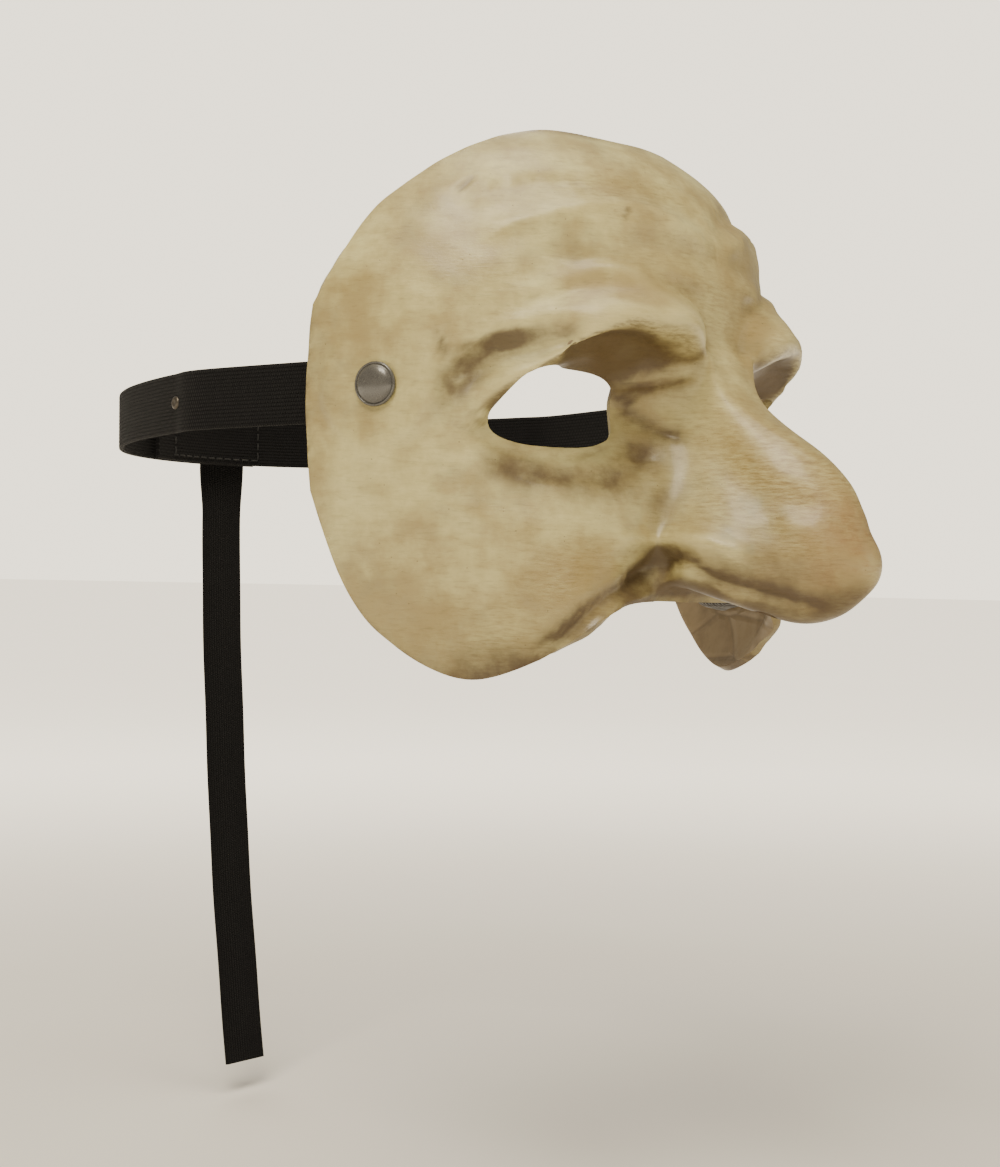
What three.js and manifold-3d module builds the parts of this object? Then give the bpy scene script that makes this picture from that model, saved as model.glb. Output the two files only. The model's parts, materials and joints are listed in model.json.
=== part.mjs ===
// Half mask with a long drooping nose, worn on an elastic strap that snaps to both temples.
// Millimetres, +Z up. The face looks along -Y and the wearer's right is -X.
// The origin is midway between the two temple press studs, on the outside of the mask.
import * as THREE from 'three';
import * as BufferGeometryUtils from 'three/addons/utils/BufferGeometryUtils.js';
import Module from 'manifold-3d';

const wasm = await Module();
wasm.setup();

// ---- driving dimensions -------------------------------------------------
const HALF_WIDTH = 76;        // half width of the mask at eye height
const DEPTH = 75;             // depth of the bowl behind the brow at eye height
const FOREHEAD_HEIGHT = 69.5; // top edge above the studs
const CHEEK_DROP = 73;        // lowest point of the cheeks below the studs
const BOWL_CENTRE_Y = 22;     // plan centre of the bowl
const WALL = 2.4;             // thickness of the moulded shell
const LIP_DROP = 52.5;        // bottom edge under the nose, below the studs
const NOSE_REACH = 100.3;     // tip of the nose in front of the studs
const NOSE_HALF_WIDTH = 21;   // at the wings
const EYE_X = 40.3;           // middle of each eye hole
const EYE_Z = -4.6;
const EYE_WIDTH = 31.4;
const EYE_HEIGHT = 19.6;
const SOCKET_DEPTH = 17;      // how far the eye sockets sink behind the face
const BROW_RISE = 11;         // how far the brows stand in front of it
const NOSTRIL_RADIUS = 3.2;
const NOSTRIL_X = 8;
const NOSTRIL_DROP = 56;      // below the studs
const NOSTRIL_BACK = 27;      // behind the tip of the nose

// Outer face of the shell in line with the studs.
const STUD_X = HALF_WIDTH * Math.sqrt(1 - (BOWL_CENTRE_Y / DEPTH) ** 2);
const STUD_TILT = 16;         // degrees that each stud faces forwards
const CAP_RADIUS = 5.62;
const CAP_HEIGHT = 2.8;
const RIVET_RADIUS = 1.5;
const SOCKET_RADIUS = 5;
const SOCKET_HEIGHT = 4.6;
const CAVITY_RADIUS = 3.3;
const BALL_RADIUS = 1.9;
const STUD_FLANGE_RADIUS = 5;
const STUD_ROCK_GAP = 0.8;    // room for the stud to rock in its socket
const STUD_SEAT = 4;          // the shell stays flat this far past a cap
const PLATE = 0.9;            // thickness of stamped stud parts
const SPRING_WIRE = 0.3;

const STRAP_WIDTH = 16.2;
const STRAP_THICK = 1.4;
const STRAP_DROOP = 1.3;      // degrees that the worn strap drops towards the back
const HEAD_HALF_WIDTH = HALF_WIDTH; // the loop that the strap is worn round
const HEAD_HALF_LENGTH = 101.5;
const HEAD_CENTRE_Y = 46;
const LAP = 22;               // each band runs this far past the middle at the back
const PATCH_FROM = -14;
const LOOP_PATCH_THICK = 0.9;
const HOOK_PATCH_THICK = 0.7;
const TAIL_X = 12.5;          // middle of the hanging tail
const TAIL_LENGTH = 194;
const TAIL_LEAN = 17;         // how far the tail's end hangs in towards the neck
const TAIL_GAP = 0.9;         // between the lap and the top of the tail, for its swing
const SIZE_RIVET_ANGLE = 15;  // degrees round the loop from straight sideways
const SIZE_RIVET_RADIUS = 1.8;

const PAD_THICK = 6;
const GAP = 0.3;              // clearance between pieces that touch
const LAYER_GAP = 0.2;        // clearance between stacked strap layers

const rad = THREE.MathUtils.degToRad;

// ---- helpers --------------------------------------------------------------
function spline(points) {
  // Smooth curve through [x, y] points, read at any x.
  const slope = (i) => {
    const a = points[Math.max(i - 1, 0)];
    const b = points[Math.min(i + 1, points.length - 1)];
    return (b[1] - a[1]) / (b[0] - a[0]);
  };
  return (x) => {
    const at = THREE.MathUtils.clamp(x, points[0][0], points[points.length - 1][0]);
    let i = 0;
    while (i < points.length - 2 && at > points[i + 1][0]) i += 1;
    const [x0, y0] = points[i];
    const [x1, y1] = points[i + 1];
    const h = x1 - x0;
    const t = (at - x0) / h;
    const keep = (2 * t - 3) * t * t + 1;
    return keep * y0 + (1 - keep) * y1
      + ((t - 2) * t + 1) * t * h * slope(i) + (t - 1) * t * t * h * slope(i + 1);
  };
}

const bell = (x, centre, width) => Math.exp(-(((x - centre) / width) ** 2));
const ease = (x, from, to) => THREE.MathUtils.smoothstep(x, from, to);

function solid(geometry) {
  const bare = geometry.clone();
  ['normal', 'uv'].forEach((name) => bare.deleteAttribute(name));
  const merged = BufferGeometryUtils.mergeVertices(bare, 1e-4);
  return new wasm.Manifold(new wasm.Mesh({
    numProp: 3,
    vertProperties: new Float32Array(merged.attributes.position.array),
    triVerts: new Uint32Array(merged.index.array),
  }));
}

function geometryOf(manifold) {
  const mesh = manifold.getMesh();
  const geometry = new THREE.BufferGeometry();
  geometry.setAttribute('position', new THREE.BufferAttribute(mesh.vertProperties, 3));
  geometry.setIndex(new THREE.BufferAttribute(mesh.triVerts, 1));
  return geometry;
}

const cut = (geometry, cutters) => geometryOf(
  cutters.reduce((body, cutter) => body.subtract(solid(cutter)), solid(geometry)),
);

// ---- face surface -----------------------------------------------------------
// Plan sections are half ellipses: half width and depth, as shares, against height.
const bowlWidth = spline([[-80, 0.86], [-68, 0.93], [-52, 0.975], [-30, 1], [0, 1], [25, 1],
  [45, 0.92], [57, 0.82], [66, 0.7], [76, 0.45]]);
const bowlDepth = spline([[-80, 0.82], [-68, 0.9], [-52, 0.96], [-30, 0.985], [0, 1], [25, 1.01],
  [45, 0.94], [57, 0.84], [66, 0.71], [76, 0.45]]);
// Outline: share of the way round to the side edge, against height.
const topEdge = spline([[0, 0.975], [0.2, 0.99], [0.38, 1], [0.6, 0.955], [0.76, 0.86],
  [0.87, 0.74], [0.94, 0.61], [1, 0.3]]);
const bottomEdge = spline([[0, LIP_DROP / CHEEK_DROP], [0.22, 0.72], [0.35, 0.735], [0.45, 0.79],
  [0.53, 0.88], [0.61, 0.955], [0.7, 0.995], [0.79, 0.965], [0.87, 0.88], [0.94, 0.73], [1, 0.36]]);
const sideAngle = spline([[-80, 78], [-55, 84], [-38, 86.5], [-18, 88.5], [0, 89.3], [14, 88.6],
  [26, 87], [40, 84.5], [80, 80]]);
// Half width of the nose where it leaves the face, against height.
const noseRoot = spline([[-55, 0.95], [-44, 1], [-30, 0.93], [-16, 0.7], [-5, 0.55], [5, 0.5],
  [20, 0.55], [70, 0.95]]);
// Middle line of the nose, from the lip up to the brow, as [distance along, forwards, height].
const noseLine = [[50, -LIP_DROP], [51, -49], [57, -49.5], [67, -53.8], [78, -57.2], [87, -56.2],
  [94.5, -51.8], [NOSE_REACH - 0.3, -46], [NOSE_REACH, -40], [95.6, -33], [92.5, -24.5], [85, -16],
  [73, -8], [64, -1.5], [59, 5], [57.5, 12]];
const noseCurve = new THREE.CatmullRomCurve3(
  noseLine.map(([forwards, height]) => new THREE.Vector3(0, -forwards, height)),
);
const NOSE_TOP = noseLine[noseLine.length - 1][1];

const NOSE_COLUMNS = 8;
const CHEEK_COLUMNS = 15;
const ROWS = 38;
const NOSE_ROWS = 23;
const RELAX_PASSES = 2;

function bowlPoint(angle, z) {
  const x = HALF_WIDTH * bowlWidth(z) * Math.sin(angle);
  const y = BOWL_CENTRE_Y - DEPTH * bowlDepth(z) * Math.cos(angle);
  return new THREE.Vector3(x, y, z);
}

function forwardRise(x, z) {
  // How far brow, socket, bags and furrows push the face forwards.
  const side = Math.abs(x);
  const reach = ((side - EYE_X + 1) / 22) ** 2 + ((z - EYE_Z) / 16) ** 2;
  const socket = SOCKET_DEPTH * Math.exp(-(reach ** 1.6));
  const browHeight = 17 - 12 * ((side - 28) / 25) ** 2;
  const browSpan = ease(side, 4, 22) * (1 - ease(side, 50, 68));
  const brow = (BROW_RISE + 7 * ease(side, 34, 48)) * bell(z, browHeight, 8) * browSpan;
  const bag = 2.5 * bell(z, -20 + 0.12 * Math.abs(side - 36), 5) * bell(side, 36, 17);
  const cheek = 12 * bell(side, 46, 17) * bell(z, -57, 22);
  const furrows = 1.6 * bell(z, 42, 4.5) + 1.4 * bell(z, 30, 4) - 1.3 * bell(z, 36, 3.5);
  return brow - socket + bag + cheek + furrows * (1 - ease(side, 30, 55));
}

function flattenAtStud(point) {
  // The shell is flat under each press stud.
  const side = Math.sign(point.x);
  const normal = new THREE.Vector3(side * Math.cos(rad(STUD_TILT)), -Math.sin(rad(STUD_TILT)), 0);
  const centre = new THREE.Vector3(side * STUD_X, 0, 0);
  const offset = point.clone().sub(centre);
  const above = offset.dot(normal);
  // Nothing round the flat stands above it.
  const flat = CAP_RADIUS + STUD_SEAT + (above > 0 ? 12 : 0);
  const hold = 1 - ease(offset.length(), flat, flat + 7);
  return point.addScaledVector(normal, -above * hold);
}

function facePoint(column, row) {
  // column runs from 0 at the middle to 1 at the side edge, row from 0 at the bottom to 1.
  const span = Math.abs(column) * (NOSE_COLUMNS + CHEEK_COLUMNS);
  const side = Math.sign(column) || 1;
  const noseShare = Math.min(span / NOSE_COLUMNS, 1);
  const cheekShare = Math.max(span - NOSE_COLUMNS, 0) / CHEEK_COLUMNS;
  const spread = cheekShare * (1.25 - 0.25 * cheekShare * cheekShare);
  const edgeShare = 0.235 * noseShare + 0.765 * spread;
  const low = -CHEEK_DROP * bottomEdge(edgeShare);
  const high = FOREHEAD_HEIGHT * topEdge(edgeShare);
  const split = NOSE_ROWS / ROWS;
  const noseTop = THREE.MathUtils.lerp(NOSE_TOP, 0.5 * (low + high), ease(edgeShare, 0.3, 1));
  const along = row / split;
  const z = row < split
    ? THREE.MathUtils.lerp(low, noseTop, along)
    : THREE.MathUtils.lerp(noseTop, high, (row - split) / (1 - split));
  const rootX = NOSE_HALF_WIDTH * noseRoot(z);
  const rootAngle = Math.asin(rootX / (HALF_WIDTH * bowlWidth(z)));
  const noseX = rootX * Math.sin(noseShare * Math.PI / 2);
  const angle = span <= NOSE_COLUMNS
    ? Math.asin(noseX / (HALF_WIDTH * bowlWidth(z)))
    : THREE.MathUtils.lerp(rootAngle, rad(sideAngle(z)), spread);
  const point = bowlPoint(side * angle, z);
  point.y -= forwardRise(point.x, point.z) * (1 - 0.6 * bell(noseShare, 0, 0.6));
  if (row < split && span < NOSE_COLUMNS) {
    const middle = bowlPoint(0, z);
    const pull = noseCurve.getPointAt(along).sub(middle);
    const round = Math.cos(noseShare * Math.PI / 2) ** 0.85;
    const wing = 3.5 * bell(noseShare, 0.78, 0.16) * bell(along, 0.3, 0.14);
    point.addScaledVector(pull, round);
    point.x += side * wing;
  }
  return flattenAtStud(point);
}

function relaxed(grid) {
  // Evens out creases without moving the edges.
  return grid.map((line, i) => line.map((point, j) => {
    if (i === 0 || j === 0 || i === grid.length - 1 || j === line.length - 1) return point;
    const mean = grid[i - 1][j].clone().add(grid[i + 1][j]).add(line[j - 1]).add(line[j + 1]);
    return flattenAtStud(point.clone().lerp(mean.multiplyScalar(0.25), 0.5));
  }));
}

function faceGrid() {
  const half = NOSE_COLUMNS + CHEEK_COLUMNS;
  let grid = [];
  for (let i = -half; i <= half; i += 1) {
    const line = [];
    for (let j = 0; j <= ROWS; j += 1) line.push(facePoint(i / half, j / ROWS));
    grid.push(line);
  }
  for (let pass = 0; pass < RELAX_PASSES; pass += 1) grid = relaxed(grid);
  return grid;
}

function gridNormal(grid, i, j) {
  const line = grid[i];
  const across = grid[Math.min(i + 1, grid.length - 1)][j].clone().sub(grid[Math.max(i - 1, 0)][j]);
  const up = line[Math.min(j + 1, line.length - 1)].clone().sub(line[Math.max(j - 1, 0)]);
  return across.cross(up).normalize();
}

function offsetGrid(grid, distance) {
  return grid.map((line, i) => line.map(
    (point, j) => point.clone().addScaledVector(gridNormal(grid, i, j), -distance),
  ));
}

function closedSheet(outside, inside) {
  // Joins two grids of the same size into one closed solid, cut alike on both sides.
  const columns = outside.length;
  const rows = outside[0].length;
  const positions = [outside, inside].flatMap((grid) => grid.flat()).flatMap((p) => [p.x, p.y, p.z]);
  const at = (layer, i, j) => layer * columns * rows + i * rows + j;
  const index = [];
  const quad = (a, b, c, d) => index.push(a, b, c, a, c, d);
  for (let i = 0; i < columns - 1; i += 1) {
    const flip = i < (columns - 1) / 2;
    for (let j = 0; j < rows - 1; j += 1) {
      const front = [at(0, i, j), at(0, i + 1, j), at(0, i + 1, j + 1), at(0, i, j + 1)];
      const back = [at(1, i, j), at(1, i, j + 1), at(1, i + 1, j + 1), at(1, i + 1, j)];
      [front, back].forEach(([a, b, c, d]) => (flip ? quad(b, c, d, a) : quad(a, b, c, d)));
    }
    quad(at(0, i, 0), at(1, i, 0), at(1, i + 1, 0), at(0, i + 1, 0));
    quad(at(0, i, rows - 1), at(0, i + 1, rows - 1), at(1, i + 1, rows - 1), at(1, i, rows - 1));
  }
  for (let j = 0; j < rows - 1; j += 1) {
    quad(at(0, 0, j), at(0, 0, j + 1), at(1, 0, j + 1), at(1, 0, j));
    const last = columns - 1;
    quad(at(0, last, j), at(1, last, j), at(1, last, j + 1), at(0, last, j + 1));
  }
  const geometry = new THREE.BufferGeometry();
  geometry.setAttribute('position', new THREE.Float32BufferAttribute(positions, 3));
  geometry.setIndex(index);
  return geometry;
}

const face = faceGrid();

// ---- shell ------------------------------------------------------------------
function ovalCutter(width, height) {
  // Straight cutter along Y with a slightly squared oval section.
  const shape = new THREE.Shape();
  const SIDES = 28;
  for (let k = 0; k < SIDES; k += 1) {
    const turn = (2 * Math.PI * k) / SIDES;
    const x = Math.sign(Math.cos(turn)) * Math.abs(Math.cos(turn)) ** 0.85 * width / 2;
    const z = Math.sign(Math.sin(turn)) * Math.abs(Math.sin(turn)) ** 0.85 * height / 2;
    if (k === 0) shape.moveTo(x, z);
    else shape.lineTo(x, z);
  }
  const reach = BOWL_CENTRE_Y + DEPTH;
  const geometry = new THREE.ExtrudeGeometry(shape, { depth: reach, bevelEnabled: false });
  return geometry.rotateX(Math.PI / 2);
}

function studHole(side, radius) {
  const geometry = new THREE.CylinderGeometry(radius, radius, 6 * WALL, 16);
  geometry.rotateZ(Math.PI / 2);
  geometry.rotateZ(side > 0 ? -rad(STUD_TILT) : rad(STUD_TILT));
  return geometry.translate(side * STUD_X, 0, 0);
}

function maskShell() {
  const cutters = [];
  [-1, 1].forEach((side) => {
    cutters.push(ovalCutter(EYE_WIDTH, EYE_HEIGHT).translate(side * EYE_X, 0, EYE_Z));
    cutters.push(studHole(side, RIVET_RADIUS + GAP));
    const nostril = new THREE.CylinderGeometry(NOSTRIL_RADIUS, NOSTRIL_RADIUS, 14, 14);
    nostril.rotateX(Math.PI / 2);
    cutters.push(nostril.translate(side * NOSTRIL_X, NOSTRIL_BACK - NOSE_REACH, -NOSTRIL_DROP));
  });
  return cut(closedSheet(face, offsetGrid(face, WALL)), cutters);
}

// ---- press studs --------------------------------------------------------------
// Lathe profiles are [radius, depth], depth measured inwards from the shell's outer face.
const SOCKET_AT = WALL + LAYER_GAP;
const SOCKET_END = SOCKET_AT + SOCKET_HEIGHT;
const CAVITY_FLOOR = SOCKET_AT + PLATE;
const CLINCH_END = CAVITY_FLOOR + LAYER_GAP + 0.4;
const BALL_AT = CLINCH_END + GAP + BALL_RADIUS;
const FLANGE_AT = SOCKET_END + STUD_ROCK_GAP;
const STRAP_AT = FLANGE_AT + PLATE + LAYER_GAP;
const POST_AT = STRAP_AT + STRAP_THICK + LAYER_GAP;
const LATHE_SIDES = 24;

function lathe(profile, sides = LATHE_SIDES) {
  // Depth runs along -X here, so the piece faces +X before it is placed.
  const points = profile.map(([radius, depth]) => new THREE.Vector2(radius, -depth));
  return new THREE.LatheGeometry(points.reverse(), sides).rotateZ(-Math.PI / 2);
}

function studCap() {
  const clinch = RIVET_RADIUS + 0.7;
  return lathe([[0, -CAP_HEIGHT], [CAP_RADIUS * 0.45, -CAP_HEIGHT * 0.94],
    [CAP_RADIUS * 0.8, -CAP_HEIGHT * 0.66], [CAP_RADIUS * 0.96, -CAP_HEIGHT * 0.35],
    [CAP_RADIUS, -LAYER_GAP - 0.3], [CAP_RADIUS * 0.96, -LAYER_GAP], [RIVET_RADIUS, -LAYER_GAP],
    [RIVET_RADIUS, CAVITY_FLOOR + LAYER_GAP], [clinch, CAVITY_FLOOR + LAYER_GAP],
    [clinch * 0.8, CLINCH_END], [0, CLINCH_END]]);
}

function studSocket() {
  const bore = RIVET_RADIUS + LAYER_GAP;
  return lathe([[bore, SOCKET_AT], [SOCKET_RADIUS, SOCKET_AT], [SOCKET_RADIUS, SOCKET_END - 0.5],
    [SOCKET_RADIUS - 0.5, SOCKET_END], [CAVITY_RADIUS, SOCKET_END], [CAVITY_RADIUS, CAVITY_FLOOR],
    [bore, CAVITY_FLOOR], [bore, SOCKET_AT]]);
}

function ringSpring() {
  const ring = new THREE.TorusGeometry(BALL_RADIUS + GAP + SPRING_WIRE, SPRING_WIRE, 8, LATHE_SIDES);
  return ring.rotateY(Math.PI / 2).translate(-(BALL_AT + 0.4), 0, 0);
}

function ballStud() {
  const neck = BALL_RADIUS * 0.74;
  const profile = [[0, BALL_AT - BALL_RADIUS]];
  for (let turn = 30; turn <= 120; turn += 30) {
    const along = BALL_AT - BALL_RADIUS * Math.cos(rad(turn));
    profile.push([BALL_RADIUS * Math.sin(rad(turn)), along]);
  }
  profile.push([neck, FLANGE_AT], [STUD_FLANGE_RADIUS - 0.4, FLANGE_AT]);
  profile.push([STUD_FLANGE_RADIUS, FLANGE_AT + 0.4], [STUD_FLANGE_RADIUS, FLANGE_AT + PLATE]);
  profile.push([0, FLANGE_AT + PLATE]);
  return lathe(profile);
}

function studPost() {
  const shank = RIVET_RADIUS - 0.2;
  return lathe([[0, FLANGE_AT + PLATE + LAYER_GAP], [shank, FLANGE_AT + PLATE + LAYER_GAP],
    [shank, POST_AT], [STUD_FLANGE_RADIUS, POST_AT], [STUD_FLANGE_RADIUS, POST_AT + PLATE * 0.5],
    [STUD_FLANGE_RADIUS - 0.5, POST_AT + PLATE], [0, POST_AT + PLATE]]);
}

// ---- strap --------------------------------------------------------------------
const studPoint = (depth, back) => new THREE.Vector2(
  STUD_X - depth * Math.cos(rad(STUD_TILT)) + back * Math.sin(rad(STUD_TILT)),
  depth * Math.sin(rad(STUD_TILT)) + back * Math.cos(rad(STUD_TILT)),
);

function loopPoint(angle, offset) {
  // Point on the worn loop, angle in degrees from straight sideways to straight back.
  const x = (HEAD_HALF_WIDTH + offset) * Math.cos(rad(angle));
  return new THREE.Vector2(x, HEAD_CENTRE_Y + (HEAD_HALF_LENGTH + offset) * Math.sin(rad(angle)));
}

const lapAngle = (x, offset) => 90 - THREE.MathUtils.radToDeg(
  Math.asin(x / (HEAD_HALF_WIDTH + offset)),
);

function ribbon(centre, thickness, width) {
  // Upright flat band along a plan curve.
  const tangents = centre.map((p, i) => centre[Math.min(i + 1, centre.length - 1)].clone()
    .sub(centre[Math.max(i - 1, 0)]).normalize());
  const edge = (sign) => centre.map((p, i) => new THREE.Vector2(
    p.x + sign * tangents[i].y * thickness / 2,
    p.y - sign * tangents[i].x * thickness / 2,
  ));
  const shape = new THREE.Shape([...edge(1), ...edge(-1).reverse()]);
  const geometry = new THREE.ExtrudeGeometry(shape, { depth: width, bevelEnabled: false });
  return geometry.translate(0, 0, -width / 2);
}

function loopRibbon(fromX, toX, offset, thickness, width) {
  const from = lapAngle(fromX, offset);
  const to = lapAngle(toX, offset);
  const STEPS = 12;
  const centre = [];
  for (let k = 0; k <= STEPS; k += 1) {
    centre.push(loopPoint(from + ((to - from) * k) / STEPS, offset));
  }
  return ribbon(centre, thickness, width);
}

// Radial places of the strap layers at the back, measured from the head.
const LEFT_OFFSET = STRAP_THICK / 2;
const LOOP_PATCH_OFFSET = STRAP_THICK + LAYER_GAP + LOOP_PATCH_THICK / 2;
const HOOK_PATCH_OFFSET = LOOP_PATCH_OFFSET + (LOOP_PATCH_THICK + HOOK_PATCH_THICK) / 2 + LAYER_GAP;
const RIGHT_OFFSET = HOOK_PATCH_OFFSET + (HOOK_PATCH_THICK + STRAP_THICK) / 2 + LAYER_GAP;
const TAB_OFFSET = RIGHT_OFFSET + STRAP_THICK + LAYER_GAP;

function band(backOffset, extraHoles = []) {
  // From the press stud to the lap at the back, on the +X side.
  const depth = STRAP_AT + STRAP_THICK / 2;
  const guide = [studPoint(depth, -8), studPoint(depth, 0), studPoint(depth, 9), studPoint(depth, 18)];
  const last = lapAngle(-LAP, backOffset);
  const STEPS = 12;
  const first = 8;
  for (let k = 0; k <= STEPS; k += 1) {
    const angle = first + ((last - first) * k) / STEPS;
    guide.push(loopPoint(angle, LEFT_OFFSET + (backOffset - LEFT_OFFSET) * ease(angle, 20, 70)));
  }
  const path = new THREE.SplineCurve(guide).getSpacedPoints(64);
  const hole = new THREE.CylinderGeometry(RIVET_RADIUS + 0.1, RIVET_RADIUS + 0.1, 8, 12);
  hole.rotateZ(Math.PI / 2 - rad(STUD_TILT));
  const at = studPoint(depth, 0);
  const holes = [hole.translate(at.x, at.y, 0), ...extraHoles];
  return cut(ribbon(path, STRAP_THICK, STRAP_WIDTH), holes);
}

function mirrored(geometry) {
  // The same piece on the wearer's right.
  const copy = geometry.clone();
  copy.scale(-1, 1, 1);
  const order = copy.index ? copy.index.array : null;
  if (!order) return mirrored(BufferGeometryUtils.mergeVertices(geometry));
  for (let k = 0; k < order.length; k += 3) {
    [order[k + 1], order[k + 2]] = [order[k + 2], order[k + 1]];
  }
  return copy;
}

// The strap loop swings about the line through both balls.
const SWING_Y = BALL_AT * Math.sin(rad(STUD_TILT));
const TAIL_Y = HEAD_CENTRE_Y + Math.sqrt(1 - (TAIL_X / HEAD_HALF_WIDTH) ** 2)
  * (HEAD_HALF_LENGTH + TAB_OFFSET);
const TAIL_TOP = -STRAP_WIDTH / 2 - TAIL_GAP - (TAIL_Y - SWING_Y) * Math.sin(rad(STRAP_DROOP));

function tailSide() {
  // Side view of the tail, hanging down from the lap and in towards the neck.
  const centre = [];
  const STEPS = 14;
  for (let k = 0; k <= STEPS; k += 1) {
    const share = k / STEPS;
    centre.push(new THREE.Vector2(TAIL_Y - TAIL_LEAN * share ** 1.8, TAIL_TOP - TAIL_LENGTH * share));
  }
  const upright = ribbon(centre, STRAP_THICK, STRAP_WIDTH);
  upright.rotateX(Math.PI / 2).rotateZ(Math.PI / 2);
  return upright.translate(TAIL_X, 0, 0);
}

function besideLoop(geometry) {
  // Turns a piece that faces +X to face out of the loop at the size rivet.
  const at = loopPoint(SIZE_RIVET_ANGLE, LEFT_OFFSET);
  const normal = Math.atan2(
    Math.sin(rad(SIZE_RIVET_ANGLE)) / (HEAD_HALF_LENGTH + LEFT_OFFSET),
    Math.cos(rad(SIZE_RIVET_ANGLE)) / (HEAD_HALF_WIDTH + LEFT_OFFSET),
  );
  return geometry.rotateZ(normal).translate(at.x, at.y, 0);
}

function sizeRivetHole() {
  const radius = SIZE_RIVET_RADIUS / 2 + 0.1;
  return besideLoop(new THREE.CylinderGeometry(radius, radius, 6, 12).rotateZ(Math.PI / 2));
}

function sizeRivet() {
  const reach = STRAP_THICK / 2 + 2 * LAYER_GAP;
  const shank = SIZE_RIVET_RADIUS / 2;
  return besideLoop(lathe([[0, -reach - 0.7], [SIZE_RIVET_RADIUS * 0.7, -reach - 0.55],
    [SIZE_RIVET_RADIUS, -reach - 0.2], [SIZE_RIVET_RADIUS, -reach], [shank, -reach], [shank, reach],
    [SIZE_RIVET_RADIUS, reach], [SIZE_RIVET_RADIUS * 0.8, reach + 0.4], [0, reach + 0.4]], 16));
}

// ---- pads -----------------------------------------------------------------------
function padPatch(columns, rows) {
  // A soft patch inside the shell, over ranges of the face's columns and rows.
  let even = face;
  for (let pass = 0; pass < 12; pass += 1) even = relaxed(even);
  const pick = (grid) => grid.slice(columns[0], columns[1] + 1)
    .map((line) => line.slice(rows[0], rows[1] + 1));
  const front = offsetGrid(face, WALL + GAP);
  const back = front.map((line, i) => line.map(
    (point, j) => point.clone().addScaledVector(gridNormal(even, i, j), -PAD_THICK),
  ));
  return closedSheet(pick(front), pick(back));
}

const MIDDLE = NOSE_COLUMNS + CHEEK_COLUMNS;
const browPad = () => padPatch([MIDDLE - 13, MIDDLE + 13], [ROWS - 8, ROWS - 2]);
const leftCheekPad = () => padPatch([MIDDLE + 14, MIDDLE + 18], [5, 13]);

// ---- assembly ---------------------------------------------------------------------
const finish = (color, roughness, metalness = 0) => new THREE.MeshStandardMaterial({
  color, roughness, metalness,
});
const paint = finish(0xb8ad88, 0.35);
const enamel = finish(0x5d6164, 0.3, 0.6);
const steel = finish(0x9a9a98, 0.35, 1);
const elastic = finish(0x101012, 0.85);
const hookTape = finish(0x141416, 0.9);
const foam = finish(0x2a2826, 0.95);

const mask = new THREE.Group();
function add(name, geometry, material, parent = mask) {
  const mesh = new THREE.Mesh(geometry, material);
  mesh.name = name;
  parent.add(mesh);
  return mesh;
}

add('mask_shell', maskShell(), paint);

const loop = new THREE.Group();
loop.position.y = SWING_Y;
loop.rotation.x = -rad(STRAP_DROOP);
mask.add(loop);
const onLoop = (geometry) => geometry.translate(0, -SWING_Y, 0);

[['left', 1], ['right', -1]].forEach(([name, side]) => {
  const turn = side > 0 ? -rad(STUD_TILT) : Math.PI + rad(STUD_TILT);
  const onShell = (geometry) => geometry.rotateZ(turn).translate(side * STUD_X, 0, 0);
  add(`${name}_stud_cap`, onShell(studCap()), enamel);
  add(`${name}_stud_socket`, onShell(studSocket()), steel);
  add(`${name}_ring_spring`, onShell(ringSpring()), steel);
  add(`${name}_ball_stud`, onLoop(onShell(ballStud())), steel, loop);
  add(`${name}_stud_post`, onLoop(onShell(studPost())), steel, loop);
});

const patchWidth = STRAP_WIDTH - 1.2;
const patch = (offset, thick) => loopRibbon(PATCH_FROM, LAP, offset, thick, patchWidth);
const tabFrom = TAIL_X - STRAP_WIDTH / 2;
const tab = loopRibbon(tabFrom, tabFrom + STRAP_WIDTH, TAB_OFFSET, STRAP_THICK, STRAP_WIDTH);
add('left_strap', onLoop(band(LEFT_OFFSET)), elastic, loop);
add('right_strap', onLoop(mirrored(band(RIGHT_OFFSET, [sizeRivetHole()]))), elastic, loop);
add('size_rivet', onLoop(mirrored(sizeRivet())), steel, loop);
add('loop_patch', onLoop(patch(LOOP_PATCH_OFFSET, LOOP_PATCH_THICK)), hookTape, loop);
add('hook_patch', onLoop(patch(HOOK_PATCH_OFFSET, HOOK_PATCH_THICK)), hookTape, loop);
add('tail_tab', onLoop(tab), elastic, loop);
add('strap_tail', tailSide(), elastic);

add('brow_pad', browPad(), foam);
add('left_cheek_pad', leftCheekPad(), foam);
add('right_cheek_pad', mirrored(leftCheekPad()), foam);

export default mask;
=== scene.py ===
"""A half mask with a long drooping nose, on an elastic strap that snaps to both temples.

Metres, +Z up. The face looks along -Y and the wearer's right is -X. The origin is midway
between the two temple press studs, on the outside of the mask.
"""
from __future__ import annotations

import json
import logging
import math
from collections.abc import Callable, Sequence
from dataclasses import dataclass, field
from enum import Enum

import bmesh
import bpy
import numpy as np
from mathutils import Matrix, Vector

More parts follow.
